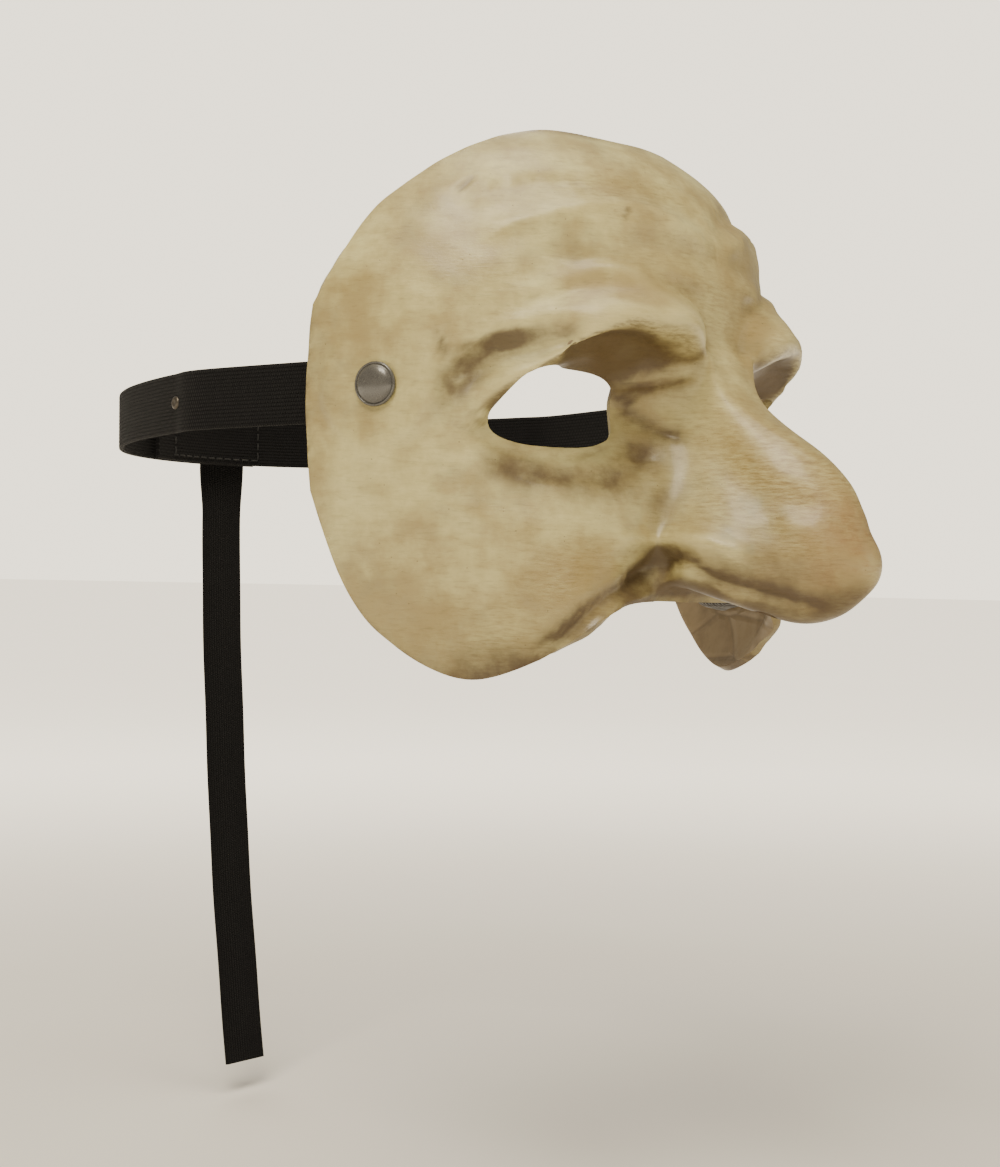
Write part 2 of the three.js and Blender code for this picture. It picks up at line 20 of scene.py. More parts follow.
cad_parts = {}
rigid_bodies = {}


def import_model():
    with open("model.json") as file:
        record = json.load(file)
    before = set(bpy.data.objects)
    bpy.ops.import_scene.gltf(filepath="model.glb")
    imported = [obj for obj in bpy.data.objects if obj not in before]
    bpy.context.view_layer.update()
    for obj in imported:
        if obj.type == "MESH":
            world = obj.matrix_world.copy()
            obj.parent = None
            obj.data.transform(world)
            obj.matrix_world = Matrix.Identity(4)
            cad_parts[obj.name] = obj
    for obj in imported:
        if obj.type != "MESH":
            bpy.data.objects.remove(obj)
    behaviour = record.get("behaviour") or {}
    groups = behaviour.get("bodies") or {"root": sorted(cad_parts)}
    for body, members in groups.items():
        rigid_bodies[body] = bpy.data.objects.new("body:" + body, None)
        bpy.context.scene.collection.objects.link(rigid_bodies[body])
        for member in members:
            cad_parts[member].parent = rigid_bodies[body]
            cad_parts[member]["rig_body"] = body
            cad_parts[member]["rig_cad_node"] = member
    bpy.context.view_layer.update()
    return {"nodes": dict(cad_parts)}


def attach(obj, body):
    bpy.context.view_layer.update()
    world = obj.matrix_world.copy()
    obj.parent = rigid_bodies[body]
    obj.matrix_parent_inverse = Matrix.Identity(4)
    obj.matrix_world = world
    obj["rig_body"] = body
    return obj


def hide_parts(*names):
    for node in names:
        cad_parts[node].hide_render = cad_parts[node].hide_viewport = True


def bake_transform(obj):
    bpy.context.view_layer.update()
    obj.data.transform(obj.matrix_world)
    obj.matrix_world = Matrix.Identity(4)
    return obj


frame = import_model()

logging.basicConfig(level=logging.INFO, format="%(message)s")
LOG = logging.getLogger("mask")

MM = 0.001
WELL_OUTSIDE = 9.0  # a hole's measure for places that it can't reach
Knots = Sequence[tuple[float, float]]
Colour = tuple[float, float, float]


class Side(Enum):
    """Which of the wearer's sides a piece is on, as the sign of X."""

    LEFT = 1
    RIGHT = -1


class Body(Enum):
    """Bodies of the CAD part that pieces ride on."""

    SHELL = "shell"
    LEFT_BAND = "left_band"
    RIGHT_BAND = "right_band"
    TAIL = "tail"


# ---- sums ---------------------------------------------------------------------------


def ease(x: np.ndarray | float, start: float, end: float) -> np.ndarray | float:
    """Smooth step from 0 at start to 1 at end.

    Args:
        x: value or values to read at.
        start: where the step leaves 0.
        end: where the step reaches 1.

    Returns:
        The step, the same shape as x.
    """
    t = np.clip((x - start) / (end - start), 0.0, 1.0)
    return t * t * (3 - 2 * t)


def bell(x: np.ndarray | float, centre: float, width: float) -> np.ndarray | float:
    """Bell curve of height 1.

    Args:
        x: value or values to read at.
        centre: place of the peak.
        width: distance at which it has fallen to 1/e.

    Returns:
        The curve, the same shape as x.
    """
    return np.exp(-(((x - centre) / width) ** 2))


def smooth_through(knots: Knots) -> Callable[[np.ndarray], np.ndarray]:
    """Smooth function through (x, y) knots.

    Args:
        knots: the points, with rising x.

    Returns:
        A function that reads the curve at any x, held flat past the ends.
    """
    xs = np.array([k[0] for k in knots], float)
    ys = np.array([k[1] for k in knots], float)
    last = len(xs) - 1
    low = np.maximum(np.arange(last + 1) - 1, 0)
    high = np.minimum(np.arange(last + 1) + 1, last)
    slopes = (ys[high] - ys[low]) / (xs[high] - xs[low])

    def read(x: np.ndarray) -> np.ndarray:
        """Reads the curve at x."""
        at = np.clip(np.asarray(x, float), xs[0], xs[-1])
        i = np.clip(np.searchsorted(xs, at, side="left") - 1, 0, last - 1)
        h = xs[i + 1] - xs[i]
        t = (at - xs[i]) / h
        keep = (2 * t - 3) * t * t + 1
        return (
            keep * ys[i]
            + (1 - keep) * ys[i + 1]
            + ((t - 2) * t + 1) * t * h * slopes[i]
            + (t - 1) * t * t * h * slopes[i + 1]
        )

    return read


def rounded_path(points: np.ndarray, count: int) -> np.ndarray:
    """Evenly spaced points on a smooth curve through the given ones.

    Args:
        points: the points to pass through, one a row.
        count: how many points to return.

    Returns:
        The points along the curve, one a row.
    """
    ends = np.vstack([2 * points[0] - points[1], points, 2 * points[-1] - points[-2]])
    steps = np.linspace(0, 1, 24, endpoint=False)[:, None]
    parts = []
    for a, b, c, d in zip(ends[:-3], ends[1:-2], ends[2:-1], ends[3:]):
        parts.append(
            0.5
            * (
                2 * b
                + (c - a) * steps
                + (2 * a - 5 * b + 4 * c - d) * steps**2
                + (3 * b - a - 3 * c + d) * steps**3
            )
        )
    dense = np.vstack([*parts, points[-1:]])
    along = np.concatenate([[0], np.cumsum(np.linalg.norm(np.diff(dense, axis=0), axis=1))])
    wanted = np.linspace(0, along[-1], count)
    return np.stack([np.interp(wanted, along, dense[:, k]) for k in range(points.shape[1])], axis=1)


# ---- modelling helpers ----------------------------------------------------------------


def only(obj: bpy.types.Object) -> None:
    """Makes obj the one selected and active object.

    Args:
        obj: the object to select.
    """
    if bpy.context.object and bpy.context.object.mode != "OBJECT":
        bpy.ops.object.mode_set(mode="OBJECT")
    bpy.ops.object.select_all(action="DESELECT")
    obj.select_set(True)
    bpy.context.view_layer.objects.active = obj


def new_active(name: str) -> bpy.types.Object:
    """Names the object that a primitive operator has just added.

    Args:
        name: name for the object and its mesh.

    Returns:
        The object.
    """
    obj = bpy.context.active_object
    obj.name = name
    obj.data.name = name
    return obj


def apply_modifier(obj: bpy.types.Object, kind: str, **settings: object) -> None:
    """Adds one modifier and applies it.

    Args:
        obj: the object to change.
        kind: the modifier's type name.
        settings: values for the modifier.
    """
    only(obj)
    modifier = obj.modifiers.new(kind.title(), kind)
    for key, value in settings.items():
        setattr(modifier, key, value)
    bpy.ops.object.modifier_apply(modifier=modifier.name)


def coordinates(obj: bpy.types.Object) -> np.ndarray:
    """All vertex places of a mesh, one a row, in metres."""
    places = np.empty(len(obj.data.vertices) * 3)
    obj.data.vertices.foreach_get("co", places)
    return places.reshape(-1, 3)


def move_vertices(obj: bpy.types.Object, places: np.ndarray) -> None:
    """Puts every vertex of obj at a new place.

    Args:
        obj: the object to change.
        places: one row a vertex, in metres.
    """
    obj.data.vertices.foreach_set("co", np.ascontiguousarray(places, float).ravel())
    obj.data.update()


def shade_smooth(obj: bpy.types.Object, degrees: float = 40) -> None:
    """Shades obj smooth, with edges sharper than an angle kept sharp.

    Args:
        obj: the object to shade.
        degrees: the angle.
    """
    only(obj)
    bpy.ops.object.shade_smooth_by_angle(angle=math.radians(degrees))


def turned(name: str, profile: Knots, sides: int = 56) -> bpy.types.Object:
    """Turned piece: a profile revolved about Z.

    Args:
        name: name of the piece.
        profile: (radius, height) in mm, from one end round the outside to the other.
        sides: steps round the axis.

    Returns:
        The piece, round the Z axis, with its normals outwards.
    """
    first_radius, first_height = profile[0]
    start = max(first_radius, 0.01) * MM
    bpy.ops.mesh.primitive_circle_add(vertices=sides, radius=start, location=(0, 0, 0))
    obj = new_active(name)
    only(obj)
    bpy.ops.object.mode_set(mode="EDIT")
    bpy.ops.mesh.select_all(action="SELECT")
    bpy.ops.transform.translate(value=(0, 0, first_height * MM))
    radius = start
    closed_loop = profile[0] == profile[-1]
    if not closed_loop:
        bpy.ops.mesh.edge_face_add()
        bpy.ops.mesh.select_all(action="SELECT")
        bpy.ops.mesh.extrude_region_move(TRANSFORM_OT_translate={"value": (0, 0, 0)})
    for k, ((_, z0), (r1, z1)) in enumerate(zip(profile[:-1], profile[1:])):
        wanted = max(r1, 0.01) * MM
        if closed_loop or k > 0:
            bpy.ops.mesh.extrude_region_move(TRANSFORM_OT_translate={"value": (0, 0, 0)})
        bpy.ops.transform.translate(value=(0, 0, (z1 - z0) * MM))
        scale = wanted / radius
        bpy.ops.transform.resize(value=(scale, scale, 1), center_override=(0, 0, z1 * MM))
        radius = wanted
    bpy.ops.mesh.select_all(action="SELECT")
    bpy.ops.mesh.remove_doubles(threshold=1e-6)
    bpy.ops.mesh.delete_loose()
    bpy.ops.mesh.normals_make_consistent(inside=False)
    bpy.ops.object.mode_set(mode="OBJECT")
    return obj


# ---- node helpers -----------------------------------------------------------------------


def linear(red: float, green: float, blue: float) -> tuple[float, float, float, float]:
    """Display colour, each channel 0 to 255, as a linear colour with alpha.

    Args:
        red: red channel.
        green: green channel.
        blue: blue channel.

    Returns:
        Linear red, green, blue and 1.
    """
    parts = [c / 255 for c in (red, green, blue)]
    light = [c / 12.92 if c <= 0.04045 else ((c + 0.055) / 1.055) ** 2.4 for c in parts]
    return (light[0], light[1], light[2], 1.0)


class Graph:
    """Short-hand for building one node tree."""

    def __init__(self, tree: bpy.types.NodeTree) -> None:
        """Keeps the tree to add nodes to."""
        self.tree = tree

    def node(self, kind: str, **settings: object) -> bpy.types.Node:
        """Adds a node.

        Args:
            kind: node type without its ShaderNode prefix.
            settings: attributes to set on the node.

        Returns:
            The node.
        """
        made = self.tree.nodes.new("ShaderNode" + kind)
        for key, value in settings.items():
            setattr(made, key, value)
        return made

    def link(self, source: object, target: bpy.types.NodeSocket) -> None:
        """Links a socket to target, or sets target to a plain value.

        Args:
            source: a socket or a value.
            target: the input socket.
        """
        if isinstance(source, bpy.types.NodeSocket):
            self.tree.links.new(source, target)
        else:
            target.default_value = source

    def math(self, operation: str, *values: object) -> bpy.types.NodeSocket:
        """Adds a Math node.

        Args:
            operation: its operation.
            values: its inputs, sockets or numbers.

        Returns:
            Its output.
        """
        made = self.node("Math", operation=operation)
        for value, socket in zip(values, made.inputs):
            self.link(value, socket)
        return made.outputs[0]

    def remap(self, value: object, low: float, high: float, start: float = 0.0,
              end: float = 1.0) -> bpy.types.NodeSocket:
        """Maps low..high of a value onto start..end, smoothly and clamped.

        Args:
            value: socket to read.
            low: value that gives start.
            high: value that gives end.
            start: lowest result.
            end: highest result.

        Returns:
            The mapped value.
        """
        made = self.node("MapRange", interpolation_type="SMOOTHSTEP")
        for socket, item in zip(made.inputs, (value, low, high, start, end)):
            self.link(item, socket)
        return made.outputs[0]

    def blend(self, share: object, first: object, second: object,
              mode: str = "MIX") -> bpy.types.NodeSocket:
        """Mixes two colours.

        Args:
            share: how much of the second.
            first: first colour.
            second: second colour.
            mode: blend type.

        Returns:
            The mixed colour.
        """
        made = self.node("Mix", data_type="RGBA", blend_type=mode)
        self.link(share, made.inputs["Factor"])
        self.link(first, made.inputs[6])
        self.link(second, made.inputs[7])
        return made.outputs[2]

    def noise(self, vector: object, scale: float, detail: float = 4.0,
              roughness: float = 0.55) -> bpy.types.NodeSocket:
        """Adds a Noise Texture.

        Args:
            vector: coordinates.
            scale: its scale.
            detail: octaves.
            roughness: weight of the fine octaves.

        Returns:
            Its value.
        """
        made = self.node("TexNoise")
        self.link(vector, made.inputs["Vector"])
        made.inputs["Scale"].default_value = scale
        made.inputs["Detail"].default_value = detail
        made.inputs["Roughness"].default_value = roughness
        return made.outputs["Fac"]

    def attribute(self, name: str) -> bpy.types.NodeSocket:
        """Reads a number stored on the mesh.

        Args:
            name: the attribute.

        Returns:
            Its value.
        """
        return self.node("Attribute", attribute_name=name).outputs["Fac"]

    def stretched(self, vector: object, scale: tuple[float, float, float],
                  turn: tuple[float, float, float] = (0, 0, 0)) -> bpy.types.NodeSocket:
        """Scales and turns coordinates.

        Args:
            vector: coordinates.
            scale: scale on each axis.
            turn: turn about each axis, in degrees.

        Returns:
            The new coordinates.
        """
        made = self.node("Mapping")
        self.link(vector, made.inputs["Vector"])
        made.inputs["Scale"].default_value = scale
        made.inputs["Rotation"].default_value = tuple(math.radians(a) for a in turn)
        return made.outputs[0]

    def place(self) -> bpy.types.NodeSocket:
        """Object coordinates, in metres."""
        return self.node("TexCoord").outputs["Object"]

    def flat(self) -> bpy.types.NodeSocket:
        """The piece's own UV map."""
        return self.node("TexCoord").outputs["UV"]

    def bump(self, height: object, depth_mm: float, strength: float = 1.0,
             normal: object = None) -> bpy.types.NodeSocket:
        """Adds a Bump node.

        Args:
            height: height from 0 to 1.
            depth_mm: real height in mm of a height of 1.
            strength: how much of it to use.
            normal: a normal to build on.

        Returns:
            The bumped normal.
        """
        made = self.node("Bump")
        made.inputs["Strength"].default_value = strength
        made.inputs["Distance"].default_value = depth_mm * MM
        self.link(height, made.inputs["Height"])
        if normal is not None:
            self.link(normal, made.inputs["Normal"])
        return made.outputs[0]


def effect(name: str, inputs: Knots, outputs: Sequence[str],
           build: Callable[[Graph, dict], dict]) -> bpy.types.NodeTree:
    """Builds a node group that several materials share, once.

    Args:
        name: the group's name.
        inputs: (name, default) pairs, all numbers but the one named Vector.
        outputs: names of the number outputs.
        build: takes the graph and the input sockets, and returns the output sockets.

    Returns:
        The group.
    """
    if name in bpy.data.node_groups:
        return bpy.data.node_groups[name]
    tree = bpy.data.node_groups.new(name, "ShaderNodeTree")
    for label, default in inputs:
        kind = "NodeSocketVector" if label == "Vector" else "NodeSocketFloat"
        socket = tree.interface.new_socket(label, in_out="INPUT", socket_type=kind)
        if kind == "NodeSocketFloat":
            socket.default_value = default
    for label in outputs:
        tree.interface.new_socket(label, in_out="OUTPUT", socket_type="NodeSocketFloat")
    graph = Graph(tree)
    source = tree.nodes.new("NodeGroupInput")
    target = tree.nodes.new("NodeGroupOutput")
    made = build(graph, {s.name: s for s in source.outputs if s.name})
    for label in outputs:
        graph.link(made[label], target.inputs[label])
    return tree


def mottle_effect() -> bpy.types.NodeTree:
    """Cloudy patches of two sizes, with a soft edge between them."""

    def build(graph: Graph, sockets: dict) -> dict:
        """Mixes a broad and a fine noise."""
        broad = graph.node("TexNoise")
        fine = graph.node("TexNoise")
        for made, factor in ((broad, 1.0), (fine, 3.7)):
            graph.link(sockets["Vector"], made.inputs["Vector"])
            graph.link(graph.math("MULTIPLY", sockets["Scale"], factor), made.inputs["Scale"])
            made.inputs["Detail"].default_value = 5
            made.inputs["Roughness"].default_value = 0.6
        both = graph.math("ADD", graph.math("MULTIPLY", broad.outputs["Fac"], 0.65),
                          graph.math("MULTIPLY", fine.outputs["Fac"], 0.35))
        patches = graph.node("MapRange", interpolation_type="SMOOTHSTEP")
        graph.link(both, patches.inputs[0])
        graph.link(sockets["Low"], patches.inputs[1])
        graph.link(sockets["High"], patches.inputs[2])
        return {"Patches": patches.outputs[0]}

    return effect("cloudy_patches", [("Vector", 0), ("Scale", 30), ("Low", 0.35), ("High", 0.65)],
                  ["Patches"], build)


def grain_effect() -> bpy.types.NodeTree:
    """Fine grain and specks, as a height and as a mask."""

    def build(graph: Graph, sockets: dict) -> dict:
        """Grain from noise, specks from scattered cells."""
        fine = graph.node("TexNoise")
        graph.link(sockets["Vector"], fine.inputs["Vector"])
        graph.link(sockets["Scale"], fine.inputs["Scale"])
        fine.inputs["Detail"].default_value = 6
        cells = graph.node("TexVoronoi", feature="F1")
        graph.link(sockets["Vector"], cells.inputs["Vector"])
        graph.link(graph.math("MULTIPLY", sockets["Scale"], 0.5), cells.inputs["Scale"])
        specks = graph.remap(cells.outputs["Distance"], 0.05, 0.2, 1.0, 0.0)
        chance = graph.node("SeparateColor")
        graph.link(cells.outputs["Color"], chance.inputs[0])
        chosen = graph.math("GREATER_THAN", chance.outputs[0], graph.math("SUBTRACT", 1.0, sockets["Specks"]))
        return {"Height": fine.outputs["Fac"], "Specks": graph.math("MULTIPLY", specks, chosen)}

    return effect("fine_grain", [("Vector", 0), ("Scale", 900), ("Specks", 0.05)],
                  ["Height", "Specks"], build)


def dust_effect() -> bpy.types.NodeTree:
    """Settled dust: more on faces that look up, in loose patches."""

    def build(graph: Graph, sockets: dict) -> dict:
        """Reads the surface's slope and a noise."""
        slope = graph.node("SeparateXYZ")
        graph.link(graph.node("NewGeometry").outputs["Normal"], slope.inputs[0])
        upwards = graph.remap(slope.outputs[2], 0.1, 0.9)
        patches = graph.remap(graph.noise(sockets["Vector"], 160.0, 6), 0.42, 0.7)
        lint = graph.remap(graph.noise(sockets["Vector"], 1400.0, 3), 0.58, 0.7)
        mask = graph.math("MULTIPLY", graph.math("MULTIPLY", upwards, patches), sockets["Amount"])
        flecks = graph.math("MULTIPLY", lint, graph.math("MULTIPLY", sockets["Amount"], 0.6))
        return {"Dust": graph.math("MAXIMUM", mask, flecks)}

    return effect("settled_dust", [("Vector", 0), ("Amount", 0.2)], ["Dust"], build)


def use(graph: Graph, group: bpy.types.NodeTree, **values: object) -> bpy.types.Node:
    """Places a shared effect in a material.

    Args:
        graph: the material's graph.
        group: the effect.
        values: sockets or numbers for its inputs.

    Returns:
        The group node.
    """
    made = graph.node("Group", node_tree=group)
    for name, value in values.items():
        graph.link(value, made.inputs[name])
    return made


# ---- finishes -----------------------------------------------------------------------------


@dataclass(frozen=True)
class Finish:
    """A surface finish that makes its own material."""

    name: str
    roughness: float = 0.5

    def material(self) -> bpy.types.Material:
        """The finish's material, made the first time it is asked for.

        Returns:
            The material.
        """
        if self.name in bpy.data.materials:
            return bpy.data.materials[self.name]
        made = bpy.data.materials.new(self.name)
        made.use_nodes = True
        made.node_tree.nodes.clear()
        graph = Graph(made.node_tree)
        shader = graph.node("BsdfPrincipled")
        target = graph.node("OutputMaterial")
        graph.link(shader.outputs[0], target.inputs["Surface"])
        shader.inputs["Roughness"].default_value = self.roughness
        self.dress(graph, shader)
        return made

    def dress(self, graph: Graph, shader: bpy.types.Node) -> None:
        """Builds the nodes of the finish. Each finish has its own.

        Args:
            graph: the material's graph.
            shader: its Principled shader.
        """
        raise NotImplementedError

    def put_on(self, obj: bpy.types.Object) -> None:
        """Gives obj this finish alone.

        Args:
            obj: the object to dress.
        """
        obj.data.materials.clear()
        obj.data.materials.append(self.material())


@dataclass(frozen=True)
class AgedPaint(Finish):
    """Cream paint with an umber wash in its hollows, deepened by painted shade, under clear varnish."""

    name: str = "aged_cream_paint"
    roughness: float = 0.42
    cream: Colour = (200, 191, 134)
    straw: Colour = (138, 116, 66)
    umber: Colour = (74, 55, 30)
    sage: Colour = (136, 133, 104)
    russet: Colour = (132, 96, 54)
    rubbed: Colour = (196, 184, 130)

    def dress(self, graph: Graph, shader: bpy.types.Node) -> None:
        """Layers the paint as it was brushed on: ground, umber wash and painted shade, tints, rubbed ridges.
        """
        place = graph.place()
        clouds = use(graph, mottle_effect(), Vector=place, Scale=26.0, Low=0.36, High=0.62)
        blots = use(graph, mottle_effect(), Vector=place, Scale=85.0, Low=0.4, High=0.64)
        grain = use(graph, grain_effect(), Vector=place, Scale=1500.0, Specks=0.035)
        wash = graph.attribute("wash")
        cavity = graph.attribute("cavity")
        ridge = graph.attribute("ridge")
        rim = graph.attribute("rim")
        strokes = graph.noise(graph.stretched(place, (260, 260, 1500), (18, 12, 0)), 1.0, 6, 0.7)
        streaks = graph.noise(graph.stretched(place, (90, 90, 420), (-24, 8, 30)), 1.0, 5, 0.62)

        ground = graph.blend(graph.math("MULTIPLY", clouds.outputs[0], 0.75),
                             linear(*self.cream), linear(*self.straw))
        ground = graph.blend(graph.remap(streaks, 0.42, 0.75, 0.0, 0.3), ground,
                             linear(*self.straw))
        ground = graph.blend(graph.math("MULTIPLY", graph.attribute("tawny"),
                                        graph.remap(strokes, 0.3, 0.66, 0.45, 1.0)),
                             ground, linear(*self.straw))
        cool = use(graph, mottle_effect(), Vector=graph.stretched(place, (1, 1, 1), (40, 20, 60)),
                   Scale=34.0, Low=0.5, High=0.72)
        ground = graph.blend(graph.math("MULTIPLY", cool.outputs[0], 0.4), ground,
                             linear(*self.sage))
        tinted = graph.blend(graph.math("MULTIPLY", graph.attribute("sage"),
                                        graph.remap(blots.outputs[0], 0, 1, 0.35, 1.0)),
                             ground, linear(*self.sage))
        tinted = graph.blend(graph.math("MULTIPLY", graph.attribute("russet"),
                                        graph.remap(blots.outputs[0], 0, 1, 0.5, 1.0)),
                             tinted, linear(*self.russet))
        uneven = graph.remap(graph.noise(place, 120.0, 6, 0.58), 0.3, 0.7, 0.68, 1.12)
        # Umber wash and painted shade: the wash strokes and patches, painted shade under the brow and on
        # faces that look down, and umber gathered in hollows.
        wash_and_shade_amount = graph.math("MULTIPLY", graph.math("ADD", wash, graph.math("MULTIPLY", cavity, 0.55)),
                          uneven)
        wash_and_shade_colour = graph.blend(graph.remap(wash_and_shade_amount, 0.04, 1.15, 0.0, 0.92), tinted, linear(*self.umber))
        thin = graph.remap(strokes, 0.5, 0.74, 0.0, 0.22)
        wash_and_shade_colour = graph.blend(thin, wash_and_shade_colour, linear(*self.umber), "MULTIPLY")
        rub = graph.math("MULTIPLY", ridge, graph.remap(strokes, 0.36, 0.62, 0.25, 0.8))
        rubbed = graph.blend(rub, wash_and_shade_colour, linear(*self.rubbed))
        worn = graph.math("MULTIPLY", rim, graph.remap(blots.outputs[0], 0.2, 0.9, 0.15, 0.65))
        edged = graph.blend(worn, rubbed, linear(*self.umber))
        cracks = graph.attribute("crack")
        spots = graph.math("MAXIMUM", graph.math("MULTIPLY", grain.outputs["Specks"], 0.5), cracks)
        final = graph.blend(spots, edged, linear(*self.umber))
        graph.link(final, shader.inputs["Base Color"])

        gloss = graph.remap(graph.noise(place, 60.0, 6), 0.35, 0.68, 0.36, 0.58)
        graph.link(graph.math("ADD", gloss, graph.math("MULTIPLY", wash_and_shade_amount, 0.1)),
                   shader.inputs["Roughness"])
        shader.inputs["Coat Roughness"].default_value = 0.2
        shader.inputs["Coat IOR"].default_value = 1.48
        graph.link(graph.remap(graph.noise(place, 48.0, 5), 0.3, 0.65, 0.05, 0.36),
                   shader.inputs["Coat Weight"])
        relief = graph.math("ADD", graph.math("MULTIPLY", strokes, 0.62),
                            graph.math("MULTIPLY", grain.outputs["Height"], 0.38))
        rougher = graph.math("MULTIPLY", graph.attribute("coarse"),
                             graph.noise(graph.stretched(place, (420, 420, 1300), (20, 0, 25)),
                                         1.0, 5, 0.7))
        pitted = graph.math("SUBTRACT", graph.math("ADD", relief,
                                                   graph.math("MULTIPLY", rougher, 2.2)),
                            graph.math("MULTIPLY", spots, 0.8))
        lumps = graph.bump(graph.noise(place, 95.0, 3, 0.5), 0.5, 0.5)
        normal = graph.bump(pitted, 0.17, 0.8, lumps)
        graph.link(normal, shader.inputs["Normal"])


@dataclass(frozen=True)
class RawPulp(Finish):
    """Sealed paper pulp inside the mask, with torn-strip edges and glue sheen."""

    name: str = "sealed_paper_inside"
    roughness: float = 0.62
    pale: Colour = (140, 122, 92)
    dark: Colour = (88, 72, 50)

    def dress(self, graph: Graph, shader: bpy.types.Node) -> None:
        """Overlapping strips from stretched cells, with fibres and stains."""
        place = graph.place()
        strips = graph.node("TexVoronoi", feature="DISTANCE_TO_EDGE")
        graph.link(graph.stretched(place, (38, 38, 85), (20, 35, 15)), strips.inputs["Vector"])
        strips.inputs["Scale"].default_value = 1.0
        tones = graph.node("TexVoronoi", feature="F1")
        graph.link(graph.stretched(place, (38, 38, 85), (20, 35, 15)), tones.inputs["Vector"])
        tones.inputs["Scale"].default_value = 1.0
        shade = graph.node("SeparateColor")
        graph.link(tones.outputs["Color"], shade.inputs[0])
        stains = use(graph, mottle_effect(), Vector=place, Scale=34.0, Low=0.4, High=0.66)
        fibres = graph.noise(graph.stretched(place, (900, 260, 260), (10, 30, 40)), 1.0, 6, 0.7)
        tone = graph.math("ADD", graph.math("MULTIPLY", shade.outputs[0], 0.35),
                          graph.math("MULTIPLY", stains.outputs[0], 0.5))
        base = graph.blend(tone, linear(*self.pale), linear(*self.dark))
        base = graph.blend(graph.remap(fibres, 0.55, 0.8, 0.0, 0.35), base, linear(*self.dark))
        seam = graph.remap(strips.outputs["Distance"], 0.0, 0.05, 0.4, 0.0)
        graph.link(graph.blend(seam, base, linear(*self.dark)), shader.inputs["Base Color"])
        graph.link(graph.remap(stains.outputs[0], 0, 1, 0.48, 0.72), shader.inputs["Roughness"])
        height = graph.math("ADD", graph.math("MULTIPLY", fibres, 0.35),
                            graph.remap(strips.outputs["Distance"], 0.0, 0.12))
        graph.link(graph.bump(height, 0.22, 0.8), shader.inputs["Normal"])


@dataclass(frozen=True)
class Metal(Finish):
    """Stamped metal with a lacquer or bare surface, fine scratches and dull spots."""

    name: str = "stamped_steel"
    roughness: float = 0.3
    tone: Colour = (150, 150, 148)
    worn: Colour = (112, 108, 102)
    metallic: float = 1.0
    lacquer: float = 0.0
    scratches: float = 0.35

    def dress(self, graph: Graph, shader: bpy.types.Node) -> None:
        """Scratches over a slightly uneven tone."""
        place = graph.place()
        patches = use(graph, mottle_effect(), Vector=place, Scale=420.0, Low=0.35, High=0.7)
        grain = use(graph, grain_effect(), Vector=place, Scale=4200.0, Specks=0.06)
        lines = graph.noise(graph.stretched(place, (1200, 9000, 2600), (25, 40, 10)), 1.0, 3, 0.6)
        dust = use(graph, dust_effect(), Vector=place, Amount=0.14)
        share = graph.math("MULTIPLY", patches.outputs[0], 0.5)
        base = graph.blend(share, linear(*self.tone), linear(*self.worn))
        base = graph.blend(graph.math("MULTIPLY", grain.outputs["Specks"], 0.5), base,
                           linear(*self.worn))
        base = graph.blend(dust.outputs[0], base, linear(170, 164, 150))
        graph.link(base, shader.inputs["Base Color"])
        shader.inputs["Metallic"].default_value = self.metallic
        rough = graph.remap(lines, 0.4, 0.7, self.roughness - 0.05, self.roughness + 0.14)
        graph.link(graph.math("ADD", rough, graph.math("MULTIPLY", dust.outputs[0], 0.4)),
                   shader.inputs["Roughness"])
        if self.lacquer:
            shader.inputs["Coat Weight"].default_value = self.lacquer
            shader.inputs["Coat Roughness"].default_value = 0.12
        graph.link(graph.bump(graph.math("MULTIPLY", lines, self.scratches), 0.03, 0.6),
                   shader.inputs["Normal"])


@dataclass(frozen=True)
class WovenElastic(Finish):
    """Black woven elastic: ribs along its length and picks across, with fuzz and lint."""

    name: str = "woven_black_elastic"
    roughness: float = 0.82
    thread: Colour = (11, 10, 12)
    gap: Colour = (5, 5, 6)
    ribs_per_metre: float = 1000.0
    picks_per_metre: float = 1350.0

    def dress(self, graph: Graph, shader: bpy.types.Node) -> None:
        """The UV map runs in metres, length first, so the weave has its real size."""
        flat = graph.flat()
        parts = graph.node("SeparateXYZ")
        graph.link(flat, parts.inputs[0])
        along, across = parts.outputs[0], parts.outputs[1]
        rib = graph.math("ABSOLUTE", graph.math("SINE", graph.math(
            "MULTIPLY", across, math.pi * self.ribs_per_metre)))
        step = graph.math("MULTIPLY", graph.math("FLOOR", graph.math(
            "MULTIPLY", across, self.ribs_per_metre)), math.pi / 2)
        pick = graph.math("ABSOLUTE", graph.math("SINE", graph.math(
            "ADD", graph.math("MULTIPLY", along, math.pi * self.picks_per_metre), step)))
        weave = graph.math("MULTIPLY", graph.math("POWER", rib, 0.6), graph.math("POWER", pick, 0.5))
        place = graph.place()
        fuzz = graph.noise(place, 5200.0, 4, 0.7)
        faded = use(graph, mottle_effect(), Vector=place, Scale=120.0, Low=0.4, High=0.7)
        dust = use(graph, dust_effect(), Vector=place, Amount=0.08)
        base = graph.blend(weave, linear(*self.gap), linear(*self.thread))
        base = graph.blend(graph.math("MULTIPLY", faded.outputs[0], 0.25), base, linear(19, 18, 20))
        base = graph.blend(graph.math("MULTIPLY", dust.outputs[0], 0.35), base, linear(96, 92, 88))
        graph.link(base, shader.inputs["Base Color"])
        graph.link(graph.remap(weave, 0, 1, 0.95, 0.7), shader.inputs["Roughness"])
        shader.inputs["Sheen Weight"].default_value = 0.03
        shader.inputs["Sheen Roughness"].default_value = 0.5
        shader.inputs["Specular IOR Level"].default_value = 0.15
        height = graph.math("ADD", weave, graph.math("MULTIPLY", fuzz, 0.3))
        graph.link(graph.bump(height, 0.28, 0.9), shader.inputs["Normal"])


